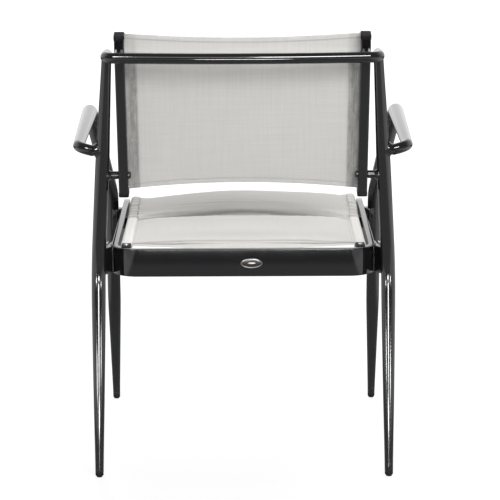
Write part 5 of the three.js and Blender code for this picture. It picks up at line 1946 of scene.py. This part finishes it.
@dataclass
class Studio:
    """A pale floor, soft light all round, and the camera behind and above the chair."""

    camera_place: tuple[float, float, float] = (0.0, 3.72381, 1.255)
    pitch: float = 13.22
    roll: float = -0.24
    lens: float = 144.0
    sensor: float = 36.0
    shift: float = 0.0134
    aim: tuple[float, float, float] = (0.0, 0.1, 0.5)
    paper: float = 0.7
    paper_in_gloss: float = 1.22
    floor_glow: float = 0.66
    lamps: tuple[Lamp, ...] = (
        Lamp("key", (-1.4, 3.8, 2.45), (3.2, 1.5), 9.6, for_gloss=False),
        Lamp("front_box", (-0.3, -2.2, 2.8), (2.4, 1.6), 7.7, for_gloss=False),
        Lamp("rail_box", (0.3, 3.0, 2.95), (2.6, 0.7), 4.8),
        Lamp("rail_box_right", (-0.8, 2.95, 3.05), (1.4, 0.74), 35.0),
        Lamp("rail_box_left", (1.6, 2.75, 2.95), (0.9, 1.0), 32.0),
        Lamp("leg_box", (0.0, 4.0, 0.42), (1.0, 0.5), 34.0),
        Lamp("knee_box", (0.0, 2.4, 0.06), (0.8, 0.11), 45.0, only=UPRIGHTS),
        Lamp("knee_box_left", (1.3, 1.8, 0.16), (0.36, 0.14), 40.0, only=UPRIGHTS),
        Lamp("knee_box_right", (-1.3, 1.8, 0.16), (0.36, 0.14), 40.0, only=UPRIGHTS),
    )
    tone_beside: float = 0.95
    tone_in_front: float = 1.08
    tone_changes: tuple[tuple[float, float, float], ...] = (  # start and end rearwards, and the change
        (-5.0, -3.2, -0.9),
        (-1.0, -0.4, 0.32),
        (1.45, 1.95, -0.34),
        (3.5, 4.4, 0.42),
    )
    room_dark: float = 0.24
    room_front: float = 1.15
    even_light: float = 0.25
    sky_light: float = 0.3

    def _seen(self, graph: Graph) -> tuple[Signal, Signal]:
        """Whether a ray comes from the camera, and whether it comes off gloss or through glass."""
        camera = graph.node("LightPath", output="Is Camera Ray")
        outputs = camera.socket.node.outputs
        gloss = Signal(graph, outputs["Is Glossy Ray"]).most(Signal(graph, outputs["Is Transmission Ray"]))
        return camera, gloss

    def _floor(self) -> None:
        """A pale floor that keeps the chair's shadow, with the tones that gloss is to mirror."""
        bpy.ops.mesh.primitive_plane_add(size=40, location=(0, 0, 0))
        floor = bpy.context.object
        floor.name = "studio_floor"
        pale = (self.paper,) * 3
        material, graph = new_material("studio_floor_paper", pale)
        across, rearwards, _ = graph.split(graph.place())
        camera, gloss = self._seen(graph)
        far = graph.node("VectorMath", {"operation": "LENGTH"}, {0: graph.place()}, output="Value")
        beside = across.size().rise(0.8, 1.15) * self.tone_beside
        shown = self.tone_in_front + beside * rearwards.rise(-1.6, -0.8)
        for start, end, change in self.tone_changes:
            shown = shown + rearwards.rise(start, end) * change
        tone = graph.blend(rgba((self.paper_in_gloss,) * 3), graph.vector(shown, shown, shown), gloss)
        paper = graph.node("BsdfDiffuse", {}, {"Color": rgba(pale)})
        light = graph.node("Emission", {}, {"Color": tone, "Strength": 1.0})
        lit = camera * (self.floor_glow + far.rise(1.2, 3.2) * (1 - self.floor_glow)) + gloss
        both = graph.node("MixShader", {}, {0: lit, 1: paper, 2: light})
        graph.node_output("OutputMaterial", both)
        floor.data.materials.append(material)

    def _world(self) -> None:
        """White seen directly, an even light from above, and a room that gloss shows."""
        world = bpy.data.worlds.new("studio_world")
        bpy.context.scene.world = world
        world.use_nodes = True
        graph = Graph(world.node_tree)
        _, rearwards, high = graph.split(graph.node("TexCoord", output="Generated"))
        camera, gloss = self._seen(graph)
        in_front = (1 - rearwards.rise(-0.3, 0.2)) * (1 - high.rise(0.5, 0.85))
        room = self.room_dark + in_front * self.room_front
        even = self.even_light + high.most(0.0) * self.sky_light
        shown = camera + (1 - camera) * (gloss * room + (1 - gloss) * even)
        tone = graph.vector(shown, shown, shown)
        light = graph.node("Background", {}, {"Color": tone, "Strength": 1.0})
        graph.node_output("OutputWorld", light)

    def build(self) -> None:
        """Makes the studio."""
        self._floor()
        self._world()
        for lamp in self.lamps:
            lamp.build(Vector(self.aim))
        camera = bpy.data.cameras.new("camera")
        camera.lens, camera.sensor_width, camera.sensor_fit = self.lens, self.sensor, "HORIZONTAL"
        camera.shift_x = self.shift
        holder = bpy.data.objects.new("camera", camera)
        holder.location = self.camera_place
        turn = Euler((math.radians(90 - self.pitch), 0, math.radians(180))).to_matrix()
        holder.rotation_euler = (turn @ Euler((0, 0, math.radians(self.roll))).to_matrix()).to_euler()
        bpy.context.scene.collection.objects.link(holder)
        bpy.context.scene.camera = holder
        bpy.context.scene.view_settings.view_transform = "Standard"


def main() -> None:
    """Builds the chair and its studio."""
    logging.basicConfig(level=logging.INFO, format="%(message)s")
    finishes = Finishes()
    back = BackPlane()
    for assembly in (
        TubeFrame(finishes),
        BackRest(finishes, back=back),
        Fasteners(finishes, back=back),
        SeatSling(finishes),
        Badge(finishes),
    ):
        assembly.build()
        assembly.report()
    Studio().build()


if __name__ == "__main__":
    main()
